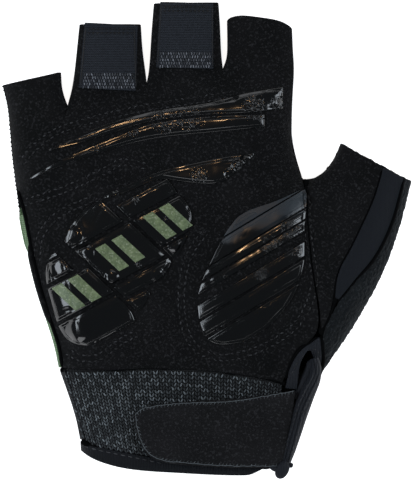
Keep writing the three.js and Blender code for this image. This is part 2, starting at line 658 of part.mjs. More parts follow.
// Cuff: a ribbed knit on the palm side and a plain back that comes round both sides of the wrist
const cuff_side = portion(little_side, cuff_share, binding_share);
const cuff_left = portion(shifted(cuff_side, cuff_inset + half_seam), 0.05, 1);
const cuff_right = resample(cuff_slit_edge_rows.map(place));
const cuff_low = joined([cuff_left[curve_steps]], portion(binding_top, 0.06, 1), [cuff_right[curve_steps]]);
const cuff_high = shifted(
  joined([cuff_left[0]], portion(cuff_seam, 0.04, 0.97), [cuff_right[0]]), -2 * half_seam);
const cuff_knit_grid = [0, 0.25, 0.5, 0.75, 1].map((t) => fine_first(14).map((s) =>
  corner(bounded(reversed(cuff_left), reversed(cuff_right), cuff_low, cuff_high, s, t), true)));
add('cuff_knit', walled(grid_faces(cuff_knit_grid, true), panel_wall), heather_knit);

// The back comes round the wrist on the thumb side to under the closing tape
const wrist_underlap = 0.6;
const wrist_side = portion(thumb_side, slit_foot_share, closure_foot_share);
const wrist_inner = shifted(wrist_side, -closure_width * wrist_underlap);
const cuff_back_left = shifted(cuff_side, cuff_inset - half_seam);
const cuff_back_rows = [0.04, 0.25, 0.5, 0.75, 0.98].map((t) => {
  const over_left = wrap_columns.map((s) =>
    corner(along(cuff_back_left, t).lerp(along(cuff_side, t), s), true));
  const under = under_row(along(cuff_side, t), along(wrist_side, t), under_columns).slice(1);
  const over_right = wrap_columns.map((s) => 1 - s).reverse().slice(1)
    .map((s) => corner(along(wrist_side, t).lerp(along(wrist_inner, t), s), true));
  return [...over_left, ...under, ...over_right];
});
add('cuff_back', walled(grid_faces(cuff_back_rows, true), panel_wall), lycra);

// Binding tape round the wrist opening, from the slit over the palm side and back under the hand
const under_top = straight(along(little_side, binding_share), place(binding_end_rows[0]));
const under_edge = joined(
  [little_side[curve_steps]], portion(wrist_edge, 0.05, 0.9), [place(binding_end_rows[1])]);
const ring_side = portion(little_side, binding_share, 1);
const over_top = joined([ring_side[0]], portion(binding_top, 0.04, 1));
const binding_columns = [0.06, 0.5, 1];
const binding_rows = [
  ...fine_last(12).map((s) => binding_columns.map((c) =>
    corner(along(over_top, 1 - s).lerp(along(wrist_edge, 1 - s), c), true))).slice(0, -1),
  ...fine_first(12).map((s) => binding_columns.map((c) =>
    corner(along(under_top, s).lerp(along(under_edge, s), c), false))),
];
add('cuff_binding', walled(grid_faces(binding_rows, false), binding_wall), navy_tape);

// Tape that binds the slit of the wrist, an inverted U between the palm and the thumb back
const slit_inner_rows = [
  { x: 0.22, y: -0.297 }, { x: 0.228, y: -0.26 }, { x: 0.238, y: -0.238 }, { x: 0.251, y: -0.231 },
  { x: 0.26, y: -0.243 },
];
const slit_outer = portion(joined(reversed(slit_edge), slit_thumb_edge), 0.02, 0.78);
const slit_outer_clear = shifted(slit_outer, -half_seam);
const slit_inner = curve(slit_inner_rows);
const slit_grid = even(12).map((t) => even(2).map((s) =>
  corner(along(slit_outer_clear, t).lerp(along(slit_inner, t), s), true)));
add('slit_binding', walled(grid_faces(slit_grid, true), slit_tape_wall), navy_tape);

// Closing strap, over the cuff from the slit towards the little finger side
const strap_upper_rows = [
  { x: -0.178, y: -0.366 }, { x: -0.166, y: -0.356 }, { x: -0.148, y: -0.348 }, { x: -0.114, y: -0.343 },
  { x: -0.016, y: -0.336 }, { x: 0.081, y: -0.331 }, { x: 0.142, y: -0.324 }, { x: 0.196, y: -0.314 },
];
const strap_lower_rows = [
  { x: -0.178, y: -0.373 }, { x: -0.173, y: -0.398 }, { x: -0.161, y: -0.43 }, { x: -0.141, y: -0.454 },
  { x: -0.114, y: -0.464 }, { x: -0.016, y: -0.473 }, { x: 0.081, y: -0.477 }, { x: 0.17, y: -0.475 },
];
const strap_grid = ruled(curve(strap_lower_rows), curve(strap_upper_rows), even(14), even(4));
const strap_flipped = strap_grid.map((row) => row.slice().reverse());
const strap_face = (lift) => strap_flipped.map((row) => row.map((point) => raised(point, lift)));
add('strap', between(strap_face(strap_clearance), strap_face(strap_clearance + strap_thickness)), leather);

// Rolled closing tape beside the slit: the width and the height of each row are shares of
// closure_width and closure_height
const closure_rows = [
  { x: 0.262, y: -0.248, width: 0.45, height: 0.5 }, { x: 0.268, y: -0.278, width: 0.7, height: 0.8 },
  { x: 0.247, y: -0.318, width: 0.85, height: 1 }, { x: 0.229, y: -0.355, width: 0.95, height: 1 },
  { x: 0.214, y: -0.4, width: 0.85, height: 0.95 }, { x: 0.201, y: -0.44, width: 0.75, height: 0.85 },
  { x: 0.19, y: -0.47, width: 0.6, height: 0.7 }, { x: 0.177, y: -0.497, width: 0.45, height: 0.55 },
];
const closure_line = curve(closure_rows);
function closure_size(t, column) {
  const step = t * (closure_rows.length - 1);
  const i = Math.min(Math.floor(step), closure_rows.length - 2);
  return THREE.MathUtils.lerp(closure_rows[i][column], closure_rows[i + 1][column], step - i);
}
const closure_steps = even(12);
const closure_across = even(4);
const closure_edges = [-1, 1].map((way) => shifted(closure_line, (t) =>
  way * closure_size(t, 'width') * closure_width / 2));
const closure_grid = ruled(closure_edges[1], closure_edges[0], closure_steps, closure_across);
const closure_edge_height = 0.35;
const closure_profile = (i, j) => closure_height * closure_size(closure_steps[i], 'height')
  * (closure_edge_height
    + (1 - closure_edge_height) * dome(Math.min(closure_across[j], 1 - closure_across[j]) * 2));
const closure_lower = closure_grid.map((row) => {
  const middle = row[closure_across.length >> 1];
  const level = height(middle.x, middle.y, true);
  return row.map((p) =>
    new THREE.Vector3(p.x, p.y, Math.max(height(p.x, p.y, true), level) + strap_clearance));
});
const closure_upper = closure_lower.map((row, i) => row.map((p, j) =>
  new THREE.Vector3(p.x, p.y, p.z + closure_profile(i, j))));
add('closure_tape', between(closure_lower, closure_upper), navy_tape);

// Height at a place of a set of faces, or of what lies under them where they end
function face_height(triangles, x, y, otherwise) {
  for (const [a, b, c] of triangles) {
    const area = (b.x - a.x) * (c.y - a.y) - (c.x - a.x) * (b.y - a.y);
    const s = ((x - a.x) * (c.y - a.y) - (c.x - a.x) * (y - a.y)) / area;
    const t = ((b.x - a.x) * (y - a.y) - (x - a.x) * (b.y - a.y)) / area;
    const slack = -1e-6;
    if (s >= slack && t >= slack && s + t <= 1 - slack) return a.z + s * (b.z - a.z) + t * (c.z - a.z);
  }
  return otherwise(x, y);
}

const palm_triangles = palm_faces.flatMap(split).map((triangle) => triangle.map((item) => item.at));
const palm_ground = (x, y) => face_height(palm_triangles, x, y, () => height(x, y, true));

// Piece laid on the palm leather or on another piece: it follows the faces under it at a
// clearance, and any cell of its grid that would come closer to them than most of that is lifted
const settle_rounds = 3;
const settle_clearance = 0.8;
const settle_samples = [[0.5, 0.5], [0.5, 0], [0, 0.5], [0.5, 1], [1, 0.5], [0.25, 0.25], [0.75, 0.75]];
function laid_faces(grid, clearance, thickness, ground) {
  const lower = grid.map((row) => row.map((point) =>
    new THREE.Vector3(point.x, point.y, ground(point.x, point.y) + clearance)));
  for (let round = 0; round < settle_rounds; round += 1) {
    for (let i = 0; i + 1 < lower.length; i += 1) {
      for (let j = 0; j + 1 < lower[i].length; j += 1) {
        const cell = [lower[i][j], lower[i][j + 1], lower[i + 1][j], lower[i + 1][j + 1]];
        const lack = Math.max(...settle_samples.map(([s, t]) => {
          const at = cell[0].clone().lerp(cell[1], s).lerp(cell[2].clone().lerp(cell[3], s), t);
          return ground(at.x, at.y) + settle_clearance * clearance - at.z;
        }));
        if (lack > 0) cell.forEach((at) => at.setZ(at.z + lack));
      }
    }
  }
  const upper = lower.map((row) => row.map((at) => new THREE.Vector3(at.x, at.y, at.z + thickness)));
  return { lower, upper };
}

function laid(grid, clearance, thickness) {
  const { lower, upper } = laid_faces(grid, clearance, thickness, palm_ground);
  return between(lower, upper);
}

// Woven pull tabs, sewn flat on two fingers below their openings, a little wider at the foot
const tab_flare = 0.04;
function pull_tab(name, finger, offset) {
  const top = finger.left[curve_steps].clone().lerp(finger.right[curve_steps], 0.5 + offset);
  const below = along(finger.left, 0).lerp(along(finger.right, 0), 0.5);
  const down = below.sub(top).normalize();
  const across = new THREE.Vector2(-down.y, down.x);
  const grid = even(6).map((t) => fine_both(7).map((s) => {
    const half = tab_width * (0.5 + tab_flare * t);
    return top.clone().addScaledVector(down, tab_length * t).addScaledVector(across, half * (2 * s - 1));
  }));
  add(name, laid(grid.reverse(), grip_clearance, tab_thickness), slate_knit);
}
pull_tab('pull_tab_ring', fingers[1], 0.02);
pull_tab('pull_tab_middle', fingers[2], 0.01);

// Grip stripes across the knuckles: stations from the little finger side, each with the y of the
// stripe's upper and lower edge
const knuckle_stripe_rows = [
  [
    { x: -0.385, upper: 0.19, lower: 0.187 }, { x: -0.284, upper: 0.23, lower: 0.21 },
    { x: -0.139, upper: 0.268, lower: 0.249 }, { x: 0.01, upper: 0.288, lower: 0.264 },
    { x: 0.105, upper: 0.31, lower: 0.267 }, { x: 0.185, upper: 0.32, lower: 0.276 },
  ],
  [
    { x: -0.431, upper: 0.13, lower: 0.127 }, { x: -0.358, upper: 0.166, lower: 0.155 },
    { x: -0.26, upper: 0.202, lower: 0.184 }, { x: -0.139, upper: 0.242, lower: 0.212 },
    { x: 0.01, upper: 0.258, lower: 0.226 }, { x: 0.14, upper: 0.262, lower: 0.237 },
  ],
  [
    { x: -0.25, upper: 0.093, lower: 0.087 }, { x: -0.187, upper: 0.117, lower: 0.103 },
    { x: -0.119, upper: 0.142, lower: 0.129 }, { x: -0.053, upper: 0.156, lower: 0.122 },
    { x: 0.037, upper: 0.172, lower: 0.121 }, { x: 0.114, upper: 0.181, lower: 0.176 },
  ],
];
knuckle_stripe_rows.forEach((rows, k) => {
  const upper = curve(rows.map((row) => ({ x: row.x, y: row.upper })));
  const lower = curve(rows.map((row) => ({ x: row.x, y: row.lower })));
  const grid = ruled(lower, upper, even(13), even(3)).map((row) => row.slice().reverse());
  add(`knuckle_grip_${k + 1}`, laid(grid, grip_clearance, grip_thickness), grip_gloss);
});

// Fields of grip cut from a pad's outline. A field has a middle and the ways that its rows and its
// columns run, and each block spans u along the rows and v across them, as shares of those ways
const field_axes = ({ middle, row_way, column_way }) =>
  ({ middle: place(middle), u_way: place(row_way), v_way: place(column_way) });

const field_place = ({ middle, u_way, v_way }, u, v) =>
  middle.clone().addScaledVector(u_way, u).addScaledVector(v_way, v);

const block_least_width = 0.012;
function row_span(outline, axes, v, block) {
  const { middle, u_way, v_way } = axes;
  const area = u_way.cross(v_way);
  const coordinates = outline.map((point) => {
    const d = point.clone().sub(middle);
    return { u: d.cross(v_way) / area, v: u_way.cross(d) / area };
  });
  const hits = [];
  coordinates.forEach((b, i) => {
    const a = coordinates[(i + coordinates.length - 1) % coordinates.length];
    if (a.v > v !== b.v > v) hits.push(a.u + ((b.u - a.u) * (v - a.v)) / (b.v - a.v));
  });
  if (hits.length < 2) return null;
  const low = Math.max(Math.min(...hits), block.u_from ?? -1);
  const high = Math.min(Math.max(...hits), block.u_to ?? 1);
  return high - low > block_least_width ? [low, high] : null;
}

function block_grid(outline, axes, block, rows, columns) {
  const scan = even(40).map((t) => block.v_from + (block.v_to - block.v_from) * t)
    .filter((v) => row_span(outline, axes, v, block));
  const from = scan[0];
  const to = scan[scan.length - 1];
  return even(rows).map((t) => {
    const v = from + (to - from) * t;
    const [low, high] = row_span(outline, axes, v, block);
    return even(columns).map((s) => field_place(axes, low + (high - low) * s, v));
  });
}

const thumb_field = field_axes({
  middle: { x: 0.118, y: -0.053 }, row_way: { x: 0.9975, y: 0.515 }, column_way: { x: 0.5994, y: -0.8572 },
});
const thumb_grip_rows = [
  { v_from: -0.13, v_to: -0.086 }, { v_from: -0.083, v_to: -0.05 }, { v_from: -0.047, v_to: -0.03 },
  { v_from: -0.026, v_to: -0.009 }, { v_from: 0.011, v_to: 0.036 }, { v_from: 0.042, v_to: 0.073 },
  { v_from: 0.08, v_to: 0.158 },
];
const thumb_pad = pads[1];
thumb_grip_rows.forEach((block, k) => {
  const grid = block_grid(thumb_pad, thumb_field, block, 3, 9).reverse();
  add(`thumb_grip_${k + 1}`, laid(grid, grip_clearance, grip_thickness), grip_gloss);
});

const heel_field = field_axes({
  middle: { x: -0.229, y: -0.026 }, row_way: { x: 1.0275, y: 0.4695 }, column_way: { x: 0.8511, y: -0.682 },
});
const heel_grip_rows = [
  { u_from: -0.055, u_to: 0.065, v_from: -0.116, v_to: -0.05 },
  { u_from: 0.08, u_to: 0.21, v_from: -0.087, v_to: -0.05 },
  { u_from: -0.21, u_to: -0.088, v_from: -0.095, v_to: -0.052 },
  { u_from: -0.21, u_to: -0.088, v_from: -0.046, v_to: -0.006 },
  { u_from: -0.055, u_to: 0.074, v_from: -0.042, v_to: 0.061 },
  { u_from: 0.082, u_to: 0.21, v_from: -0.042, v_to: 0.038 },
  { u_from: 0.082, u_to: 0.19, v_from: 0.044, v_to: 0.095 },
  { u_from: -0.21, u_to: -0.063, v_from: 0.004, v_to: 0.078 },
  { u_from: -0.055, u_to: 0.074, v_from: 0.069, v_to: 0.1 },
  { u_from: -0.23, u_to: -0.066, v_from: 0.087, v_to: 0.158 },
  { u_from: -0.058, u_to: -0.01, v_from: 0.109, v_to: 0.158 },
];
const heel_pad = pads[0];
const heel_blocks = heel_grip_rows.map((block, k) => {
  const grid = block_grid(heel_pad, heel_field, block, 3, 6).reverse();
  const faces = laid_faces(grid, grip_clearance, grip_thickness, palm_ground);
  add(`heel_grip_${k + 1}`, between(faces.lower, faces.upper), grip_gloss);
  return grid_faces(faces.upper, true).flatMap(split);
});

// Plain slanted bars on three of the blocks, two to a block
const mark_rows = [
  { name: '1', block: 4, u: 0.01, v: 0.009 }, { name: '2', block: 5, u: 0.133, v: -0.004 },
  { name: '3', block: 7, u: -0.12, v: 0.041 },
];
const [mark_across, mark_down] = [heel_field.u_way.length(), heel_field.v_way.length()];
mark_rows.forEach(({ name, block, u, v }) => [-0.5, 0.5].forEach((side, k) => {
  const middle_u = u + (side * mark_spacing) / mark_across;
  const half_u = mark_width / 2 / mark_across;
  const half_v = mark_length / 2 / mark_down;
  const grid = even(4).map((t) => even(2).map((s) =>
    field_place(heel_field, middle_u + half_u * (2 * s - 1), v + half_v * (1 - 2 * t))));
  const block_ground = (x, y) => face_height(heel_blocks[block], x, y,
    () => palm_ground(x, y) + grip_clearance + grip_thickness);
  const faces = laid_faces(grid, grip_clearance, mark_thickness, block_ground);
  add(`mark_${name}${'ab'[k]}`, between(faces.lower, faces.upper), olive_print);
}));

// The origin is the middle of the glove's outline, on the plane that it lies on
const extent = new THREE.Box3().setFromObject(glove);
const middle = extent.getCenter(new THREE.Vector3());
glove.position.set(-middle.x, -middle.y, -extent.min.z);

export default glove;
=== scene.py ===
import math
import random

import bmesh
import bpy
import numpy as np
from mathutils import Matrix, Vector, noise
from mathutils.bvhtree import BVHTree


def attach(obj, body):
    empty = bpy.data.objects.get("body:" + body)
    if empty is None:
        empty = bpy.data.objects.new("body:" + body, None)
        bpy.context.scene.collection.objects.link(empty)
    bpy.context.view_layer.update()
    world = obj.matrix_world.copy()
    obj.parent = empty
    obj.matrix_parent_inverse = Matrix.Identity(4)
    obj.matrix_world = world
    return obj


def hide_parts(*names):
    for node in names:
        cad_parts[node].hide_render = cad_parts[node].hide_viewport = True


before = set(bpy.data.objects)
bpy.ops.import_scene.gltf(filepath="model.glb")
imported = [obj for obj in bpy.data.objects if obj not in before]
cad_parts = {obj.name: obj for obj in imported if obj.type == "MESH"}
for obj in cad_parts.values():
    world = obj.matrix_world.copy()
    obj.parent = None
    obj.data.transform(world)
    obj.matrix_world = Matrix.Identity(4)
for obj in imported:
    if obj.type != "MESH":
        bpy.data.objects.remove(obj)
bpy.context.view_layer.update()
mm = 0.001

# The table and the lights. The glove lies palm up on a white table and is seen from straight above.
# Large soft lights stand low round it, the ceiling over it stays dark, and one small warm lamp
# hangs near the line of sight.
view_height = 168.4 * mm
view_level = 10 * mm
camera_height = 2.4
film_width = 36.0
scene = bpy.context.scene
scene.view_settings.view_transform = "Standard"
camera_data = bpy.data.cameras.new("camera")
camera_data.sensor_width = film_width
camera_data.lens = film_width * camera_height / view_height
camera = bpy.data.objects.new("camera", camera_data)
camera.location = (0, 0, camera_height + view_level)
scene.collection.objects.link(camera)
scene.camera = camera

table_size = 6.0
table_look = {"Base Color": (0.9, 0.9, 0.9, 1), "Roughness": 0.9, "Emission Color": (1, 1, 1, 1),
              "Emission Strength": 0.9}
table_mesh = bpy.data.meshes.new("table")
table_form = bmesh.new()
bmesh.ops.create_grid(table_form, x_segments=1, y_segments=1, size=table_size / 2)
table_form.to_mesh(table_mesh)
table_form.free()
table = bpy.data.objects.new("table", table_mesh)
scene.collection.objects.link(table)
table_paint = bpy.data.materials.new("table_paint")
table_paint.use_nodes = True
for key, value in table_look.items():
    table_paint.node_tree.nodes["Principled BSDF"].inputs[key].default_value = value
table_mesh.materials.append(table_paint)

room_look = {"Color": (0.8, 0.9, 1.0, 1), "Strength": 0.12}
world = bpy.data.worlds.new("room")
world.use_nodes = True
for key, value in room_look.items():
    world.node_tree.nodes["Background"].inputs[key].default_value = value
scene.world = world

cool = (0.84, 0.92, 1)
plain = (0.95, 0.97, 1)
warm = (1, 0.6, 0.3)
lights = [
    {"name": "left_box", "turn": 180, "tilt": 46, "far": 0.9, "size": (0.85, 0.3),
     "glow": 7, "tint": cool},
    {"name": "right_box", "turn": 10, "tilt": 56, "far": 0.9, "size": (0.4, 0.5),
     "glow": 6, "tint": cool},
    {"name": "head_box", "turn": 80, "tilt": 66, "far": 1.0, "size": (0.9, 0.4),
     "glow": 1.6, "tint": plain},
    {"name": "foot_box", "turn": 262, "tilt": 68, "far": 1.0, "size": (0.9, 0.4),
     "glow": 3, "tint": plain},
    {"name": "warm_lamp", "turn": 102, "tilt": 26, "far": 1.0, "size": (0.05, 0.05),
     "glow": 100, "tint": warm},
]
for row in lights:
    turn = math.radians(row["turn"])
    tilt = math.radians(row["tilt"])
    way = Vector((math.sin(tilt) * math.cos(turn), math.sin(tilt) * math.sin(turn), math.cos(tilt)))
    light_data = bpy.data.lights.new(row["name"], "AREA")
    light_data.shape = "RECTANGLE"
    light_data.size, light_data.size_y = row["size"]
    light_data.energy = row["glow"] * math.pi * row["size"][0] * row["size"][1]
    light_data.color = row["tint"]
    light = bpy.data.objects.new(row["name"], light_data)
    light.location = way * row["far"]
    light.rotation_mode = "QUATERNION"
    light.rotation_quaternion = way.to_track_quat("Z", "Y")
    scene.collection.objects.link(light)


# The palm, one piece of black microfibre suede with thin gel pads sewn in under it. Rows of
# stitches sink round the pads, and the empty glove lies in soft folds.
photo_middle = (206.75, 239.75)
pixel = (0.3504 * mm, 0.3508 * mm)
line_steps = 40
tiny_square = 1e-16


def seen(x, y):
    """Place over the table of a place in the photograph, which is given in pixels."""
    return np.array([(x - photo_middle[0]) * pixel[0], (photo_middle[1] - y) * pixel[1]])


def column_and_row(places):
    """Where places over the table lie in the photograph, in pixels."""
    return places[:, 0] / pixel[0] + photo_middle[0], photo_middle[1] - places[:, 1] / pixel[1]


def smooth_line(places, step=0.5 * mm):
    """Evenly spaced points on a smooth line through places of the photograph."""
    points = np.array([seen(x, y) for x, y in places])
    chain = np.vstack([points[:1], points, points[-1:]])
    rows = []
    for a, b, c, d in zip(chain, chain[1:], chain[2:], chain[3:]):
        t = np.linspace(0, 1, line_steps, endpoint=False)[:, None]
        rows.append(0.5 * (2 * b + (c - a) * t + (2 * a - 5 * b + 4 * c - d) * t**2
                           + (3 * b - a - 3 * c + d) * t**3))
    fine = np.vstack(rows + [points[-1:]])
    run = np.concatenate([[0], np.cumsum(np.linalg.norm(np.diff(fine, axis=0), axis=1))])
    stations = np.linspace(0, run[-1], max(2, int(round(run[-1] / step)) + 1))
    return np.column_stack([np.interp(stations, run, fine[:, k]) for k in (0, 1)])


def beside(line, distance):
    """The same line, moved to its left."""
    way = np.gradient(line, axis=0)
    way /= np.linalg.norm(way, axis=1)[:, None]
    return line + distance * np.column_stack([-way[:, 1], way[:, 0]])


def distance_to(points, line):
    """Distance in the plan from each point to a line."""
    least = np.full(len(points), np.inf)
    for a, b in zip(line, line[1:]):
        step = b - a
        share = np.clip(((points - a) @ step) / max(step @ step, tiny_square), 0, 1)
        least = np.minimum(least, np.linalg.norm(points - a - share[:, None] * step, axis=1))
    return least


def ease(value, low=0, high=1):
    """0 up to low, 1 from high on and a smooth rise between them."""
    share = np.clip((value - low) / (high - low), 0, 1)
    return share * share * (3 - 2 * share)


quilt_rows = {
    "knuckle_top": [(22, 163), (30, 152), (45, 139), (60, 130), (88, 121), (120, 113), (150, 107),
                    (190, 101), (236, 94)],
    "knuckle_bottom": [(22, 203), (45, 196), (60, 191), (77, 184), (92, 177), (108, 169), (122, 162),
                       (145, 166)],
    "heel_top": [(37, 262), (39, 240), (45, 228), (55, 217), (70, 208), (85, 202), (97, 195)],
    "heel_bottom": [(66, 350), (80, 357), (97, 357), (110, 349), (122, 340), (136, 333)],
    "thumb_round": [(306, 196), (308, 235), (312, 262), (314, 280), (309, 302), (299, 320), (287, 332),
                    (268, 344), (245, 353), (222, 357), (203, 352), (190, 340), (183, 320), (181, 296),
                    (184, 270), (192, 249), (205, 232)],
}
quilt_spacing = 2.1 * mm
quilt_lines = {name: smooth_line(places) for name, places in quilt_rows.items()}
quilt_pairs = [beside(line, side * quilt_spacing / 2) for line in quilt_lines.values()
               for side in (-1, 1)]
quilt_depth = 0.45 * mm
quilt_width = 0.9 * mm
quilt_stride = 4

fold_rows = [
    {"from": (302, 334), "to": (274, 370), "width": 3.2, "depth": 1.3},
    {"from": (180, 262), "to": (190, 350), "width": 5.0, "depth": 0.5},
    {"from": (160, 345), "to": (150, 366), "width": 3.0, "depth": 0.45},
    {"from": (215, 362), "to": (228, 372), "width": 3.0, "depth": 0.4},
    {"from": (96, 180), "to": (140, 170), "width": 3.5, "depth": 0.35},
    {"from": (225, 200), "to": (290, 172), "width": 4.0, "depth": 0.6},
    {"from": (320, 190), "to": (322, 250), "width": 4.0, "depth": 0.5},
    {"from": (345, 200), "to": (325, 262), "width": 3.0, "depth": 0.4},
    {"from": (70, 100), "to": (100, 92), "width": 3.0, "depth": 0.5},
    {"from": (146, 82), "to": (160, 98), "width": 3.0, "depth": 0.5},
    {"from": (222, 68), "to": (232, 84), "width": 3.0, "depth": 0.5},
    {"from": (300, 120), "to": (288, 150), "width": 3.0, "depth": 0.4},
]
slack_rows = [{"size": 13 * mm, "rise": 0.35 * mm}, {"size": 4 * mm, "rise": 0.09 * mm}]
sag_height = (8.5 * mm, 12 * mm)


def settled_height(points, height):
    """Rise of the palm side at each point: folds, quilting and slack, fading out at the side seams."""
    rise = np.zeros(len(points))
    for row in fold_rows:
        line = np.array([seen(*row["from"]), seen(*row["to"])])
        rise -= row["depth"] * mm * np.exp(-((distance_to(points, line) / (row["width"] * mm)) ** 2))
    for line in quilt_pairs:
        rise -= quilt_depth * np.exp(-((distance_to(points, line[::quilt_stride]) / quilt_width) ** 2))
    for row in slack_rows:
        lumps = np.array([noise.noise(Vector((x, y, 0)) / row["size"]) for x, y in points])
        rise += row["rise"] * lumps
    return rise * ease(height, *sag_height)


weld_distance = 0.01 * mm
quad_turn = math.radians(60)
quad_shape = math.radians(120)
sharp_turn = math.radians(55)


def bare_form(node):
    """The mesh of a solid as one skin of quads, for a piece that stands for it."""
    form = bmesh.new()
    form.from_mesh(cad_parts[node].data)
    bmesh.ops.remove_doubles(form, verts=form.verts, dist=weld_distance)
    bmesh.ops.join_triangles(form, faces=form.faces, angle_face_threshold=quad_turn,
                             angle_shape_threshold=quad_shape)
    return form


def piece_of(form, name, finish=None):
    """A piece of the scene from a form, with smooth faces."""
    mesh = bpy.data.meshes.new(name)
    form.to_mesh(mesh)
    form.free()
    for extra in [a.name for a in mesh.attributes if a.name in ("custom_normal", "UVMap")]:
        mesh.attributes.remove(mesh.attributes[extra])
    mesh.polygons.foreach_set("use_smooth", [True] * len(mesh.polygons))
    piece = bpy.data.objects.new(name, mesh)
    scene.collection.objects.link(piece)
    if finish:
        mesh.materials.append(finish)
    return piece


def sharp_edges(form):
    """Edges between faces that turn sharply from each other."""
    return [e for e in form.edges if len(e.link_faces) == 2 and e.calc_face_angle() > sharp_turn]


def subdivided(form, name, finish, levels=3, crease=0.8):
    """Smooth piece from a form, whose sharp edges stay as crisp as crease says."""
    layer = form.edges.layers.float.get("crease_edge") or form.edges.layers.float.new("crease_edge")
    for edge in sharp_edges(form):
        edge[layer] = crease
    piece = piece_of(form, name)
    smoother = piece.modifiers.new("fine", "SUBSURF")
    smoother.levels = levels
    smoother.render_levels = levels
    rough = piece.data
    finished = piece.evaluated_get(bpy.context.evaluated_depsgraph_get())
    piece.data = bpy.data.meshes.new_from_object(finished)
    piece.modifiers.clear()
    bpy.data.meshes.remove(rough)
    piece.data.name = name
    piece.data.materials.clear()
    piece.data.materials.append(finish)
    return piece


def points_of(piece):
    """Places of a piece's points, a row for each."""
    places = np.empty(len(piece.data.vertices) * 3, np.float32)
    piece.data.vertices.foreach_get("co", places)
    return places.reshape(-1, 3).astype(float)


def put_points(piece, places):
    """Moves a piece's points to places."""
    piece.data.vertices.foreach_set("co", places.astype(np.float32).ravel())
    piece.data.update()


def sag(piece):
    """Gives a piece of the palm side its folds and quilting."""
    places = points_of(piece)
    places[:, 2] += settled_height(places[:, :2], places[:, 2])
    put_points(piece, places)


index_end = {"from": 227, "to": 292, "low": 60, "high": 20, "rise": 6.8 * pixel[1]}


def round_index(piece):
    """Bulges the edge of the index finger's opening."""
    places = points_of(piece)
    column, row = column_and_row(places)
    share = np.clip((column - index_end["from"]) / (index_end["to"] - index_end["from"]), 0, 1)
    near = ease(row, index_end["low"], index_end["high"])
    places[:, 1] += index_end["rise"] * (1 - (2 * share - 1) ** 4) * near
    put_points(piece, places)


class Wire:
    """A socket of a material's nodes that takes part in sums and products."""

    def __init__(self, tree, socket=None):
        self.tree = tree
        self.socket = socket

    def node(self, kind, settings=None, values=None, out=0):
        """One output of a new node, with its settings made first and then its sockets' values."""
        made = self.tree.nodes.new("ShaderNode" + kind)
        for key, value in (settings or {}).items():
            setattr(made, key, value)
        for key, value in (values or {}).items():
            if isinstance(value, Wire):
                self.tree.links.new(value.socket, made.inputs[key])
            else:
                made.inputs[key].default_value = value
        return Wire(self.tree, made.outputs[out])

    def math(self, operation, *values):
        return self.node("Math", {"operation": operation}, dict(enumerate(values)))

    def __add__(self, other):
        return self.math("ADD", self, other)

    def __radd__(self, other):
        return self.math("ADD", other, self)

    def __sub__(self, other):
        return self.math("SUBTRACT", self, other)

    def __rsub__(self, other):
        return self.math("SUBTRACT", other, self)

    def __mul__(self, other):
        return self.math("MULTIPLY", self, other)

    def __rmul__(self, other):
        return self.math("MULTIPLY", other, self)

    def __truediv__(self, other):
        return self.math("DIVIDE", self, other)

    def step(self, low, high):
        """0 below low, 1 above high and a smooth rise between them."""
        ends = {1: low, 2: high, 3: 0.0, 4: 1.0}
        return self.node("MapRange", {"interpolation_type": "SMOOTHSTEP"}, {0: self, **ends})

    def size(self):
        return self.math("ABSOLUTE", self)

    def at_most(self, limit):
        return self.math("MINIMUM", self, limit)

    def wave(self, length):
        """Rise and fall from -1 to 1 over a length in millimetres."""
        turn = self * (2 * math.pi / (length * mm))
        return turn.math("SINE", turn)

    def axes(self):
        """The three parts of a place."""
        made = self.tree.nodes.new("ShaderNodeSeparateXYZ")
        self.tree.links.new(self.socket, made.inputs[0])
        return [Wire(self.tree, socket) for socket in made.outputs]

    def blend(self, low, high):
        """A colour between low at 0 and high at 1, which go in at the sixth and seventh sockets."""
        ends = {6: low, 7: high}
        ends = {key: tint if isinstance(tint, Wire) else (*tint, 1) for key, tint in ends.items()}
        return self.node("Mix", {"data_type": "RGBA"}, {0: self, **ends}, out=2)

    def grain(self, size, detail=2.0):
        """Soft noise with blotches of a size in millimetres."""
        place = self.node("TexCoord", out="Object")
        values = {"Vector": place, "Scale": 1000 / size, "Detail": detail}
        return self.node("TexNoise", {}, values, out="Fac")

    def bump(self, depth, height):
        """Relief of a depth in millimetres."""
        return self.node("Bump", {}, {"Distance": depth * mm, "Height": height})


def paint(name, colour, fixed, varied=None):
    """A material: fixed sets plain sockets, and varied gives those that change over the surface."""
    made = bpy.data.materials.new(name)
    made.use_nodes = True
    shader = made.node_tree.nodes["Principled BSDF"]
    shader.inputs["Base Color"].default_value = (*colour, 1)
    for key, value in fixed.items():
        shader.inputs[key].default_value = value
    for key, wire in (varied(Wire(made.node_tree)) if varied else {}).items():
        made.node_tree.links.new(wire.socket, shader.inputs[key])
    return made


def suede_look(dark, light, fleck):
    """Napped suede in soft patches, with paler flecks of nap."""
    def look(wire):
        nap = wire.grain(0.8, 3)
        fibre = wire.grain(0.2, 1)
        colour = wire.grain(14, 3).step(0.3, 0.75).blend(dark, light)
        return {
            "Base Color": (nap.step(0.5, 0.72) * 0.75).blend(colour, fleck),
            "Roughness": 0.78 + nap * 0.2,
            "Normal": wire.bump(0.3, nap * 0.8 + fibre * 0.3),
        }
    return look


suede = paint("palm_suede", (0.003, 0.0032, 0.0036), {"Specular IOR Level": 0.1},
              suede_look(dark=(0.002, 0.0023, 0.0026), light=(0.0044, 0.0046, 0.0052),
                         fleck=(0.022, 0.0225, 0.0245)))
palm_levels = 3
palm = subdivided(bare_form("palm_panel"), "palm_leather_panel", suede, palm_levels)
sag(palm)
round_index(palm)
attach(palm, "root")
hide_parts("palm_panel")


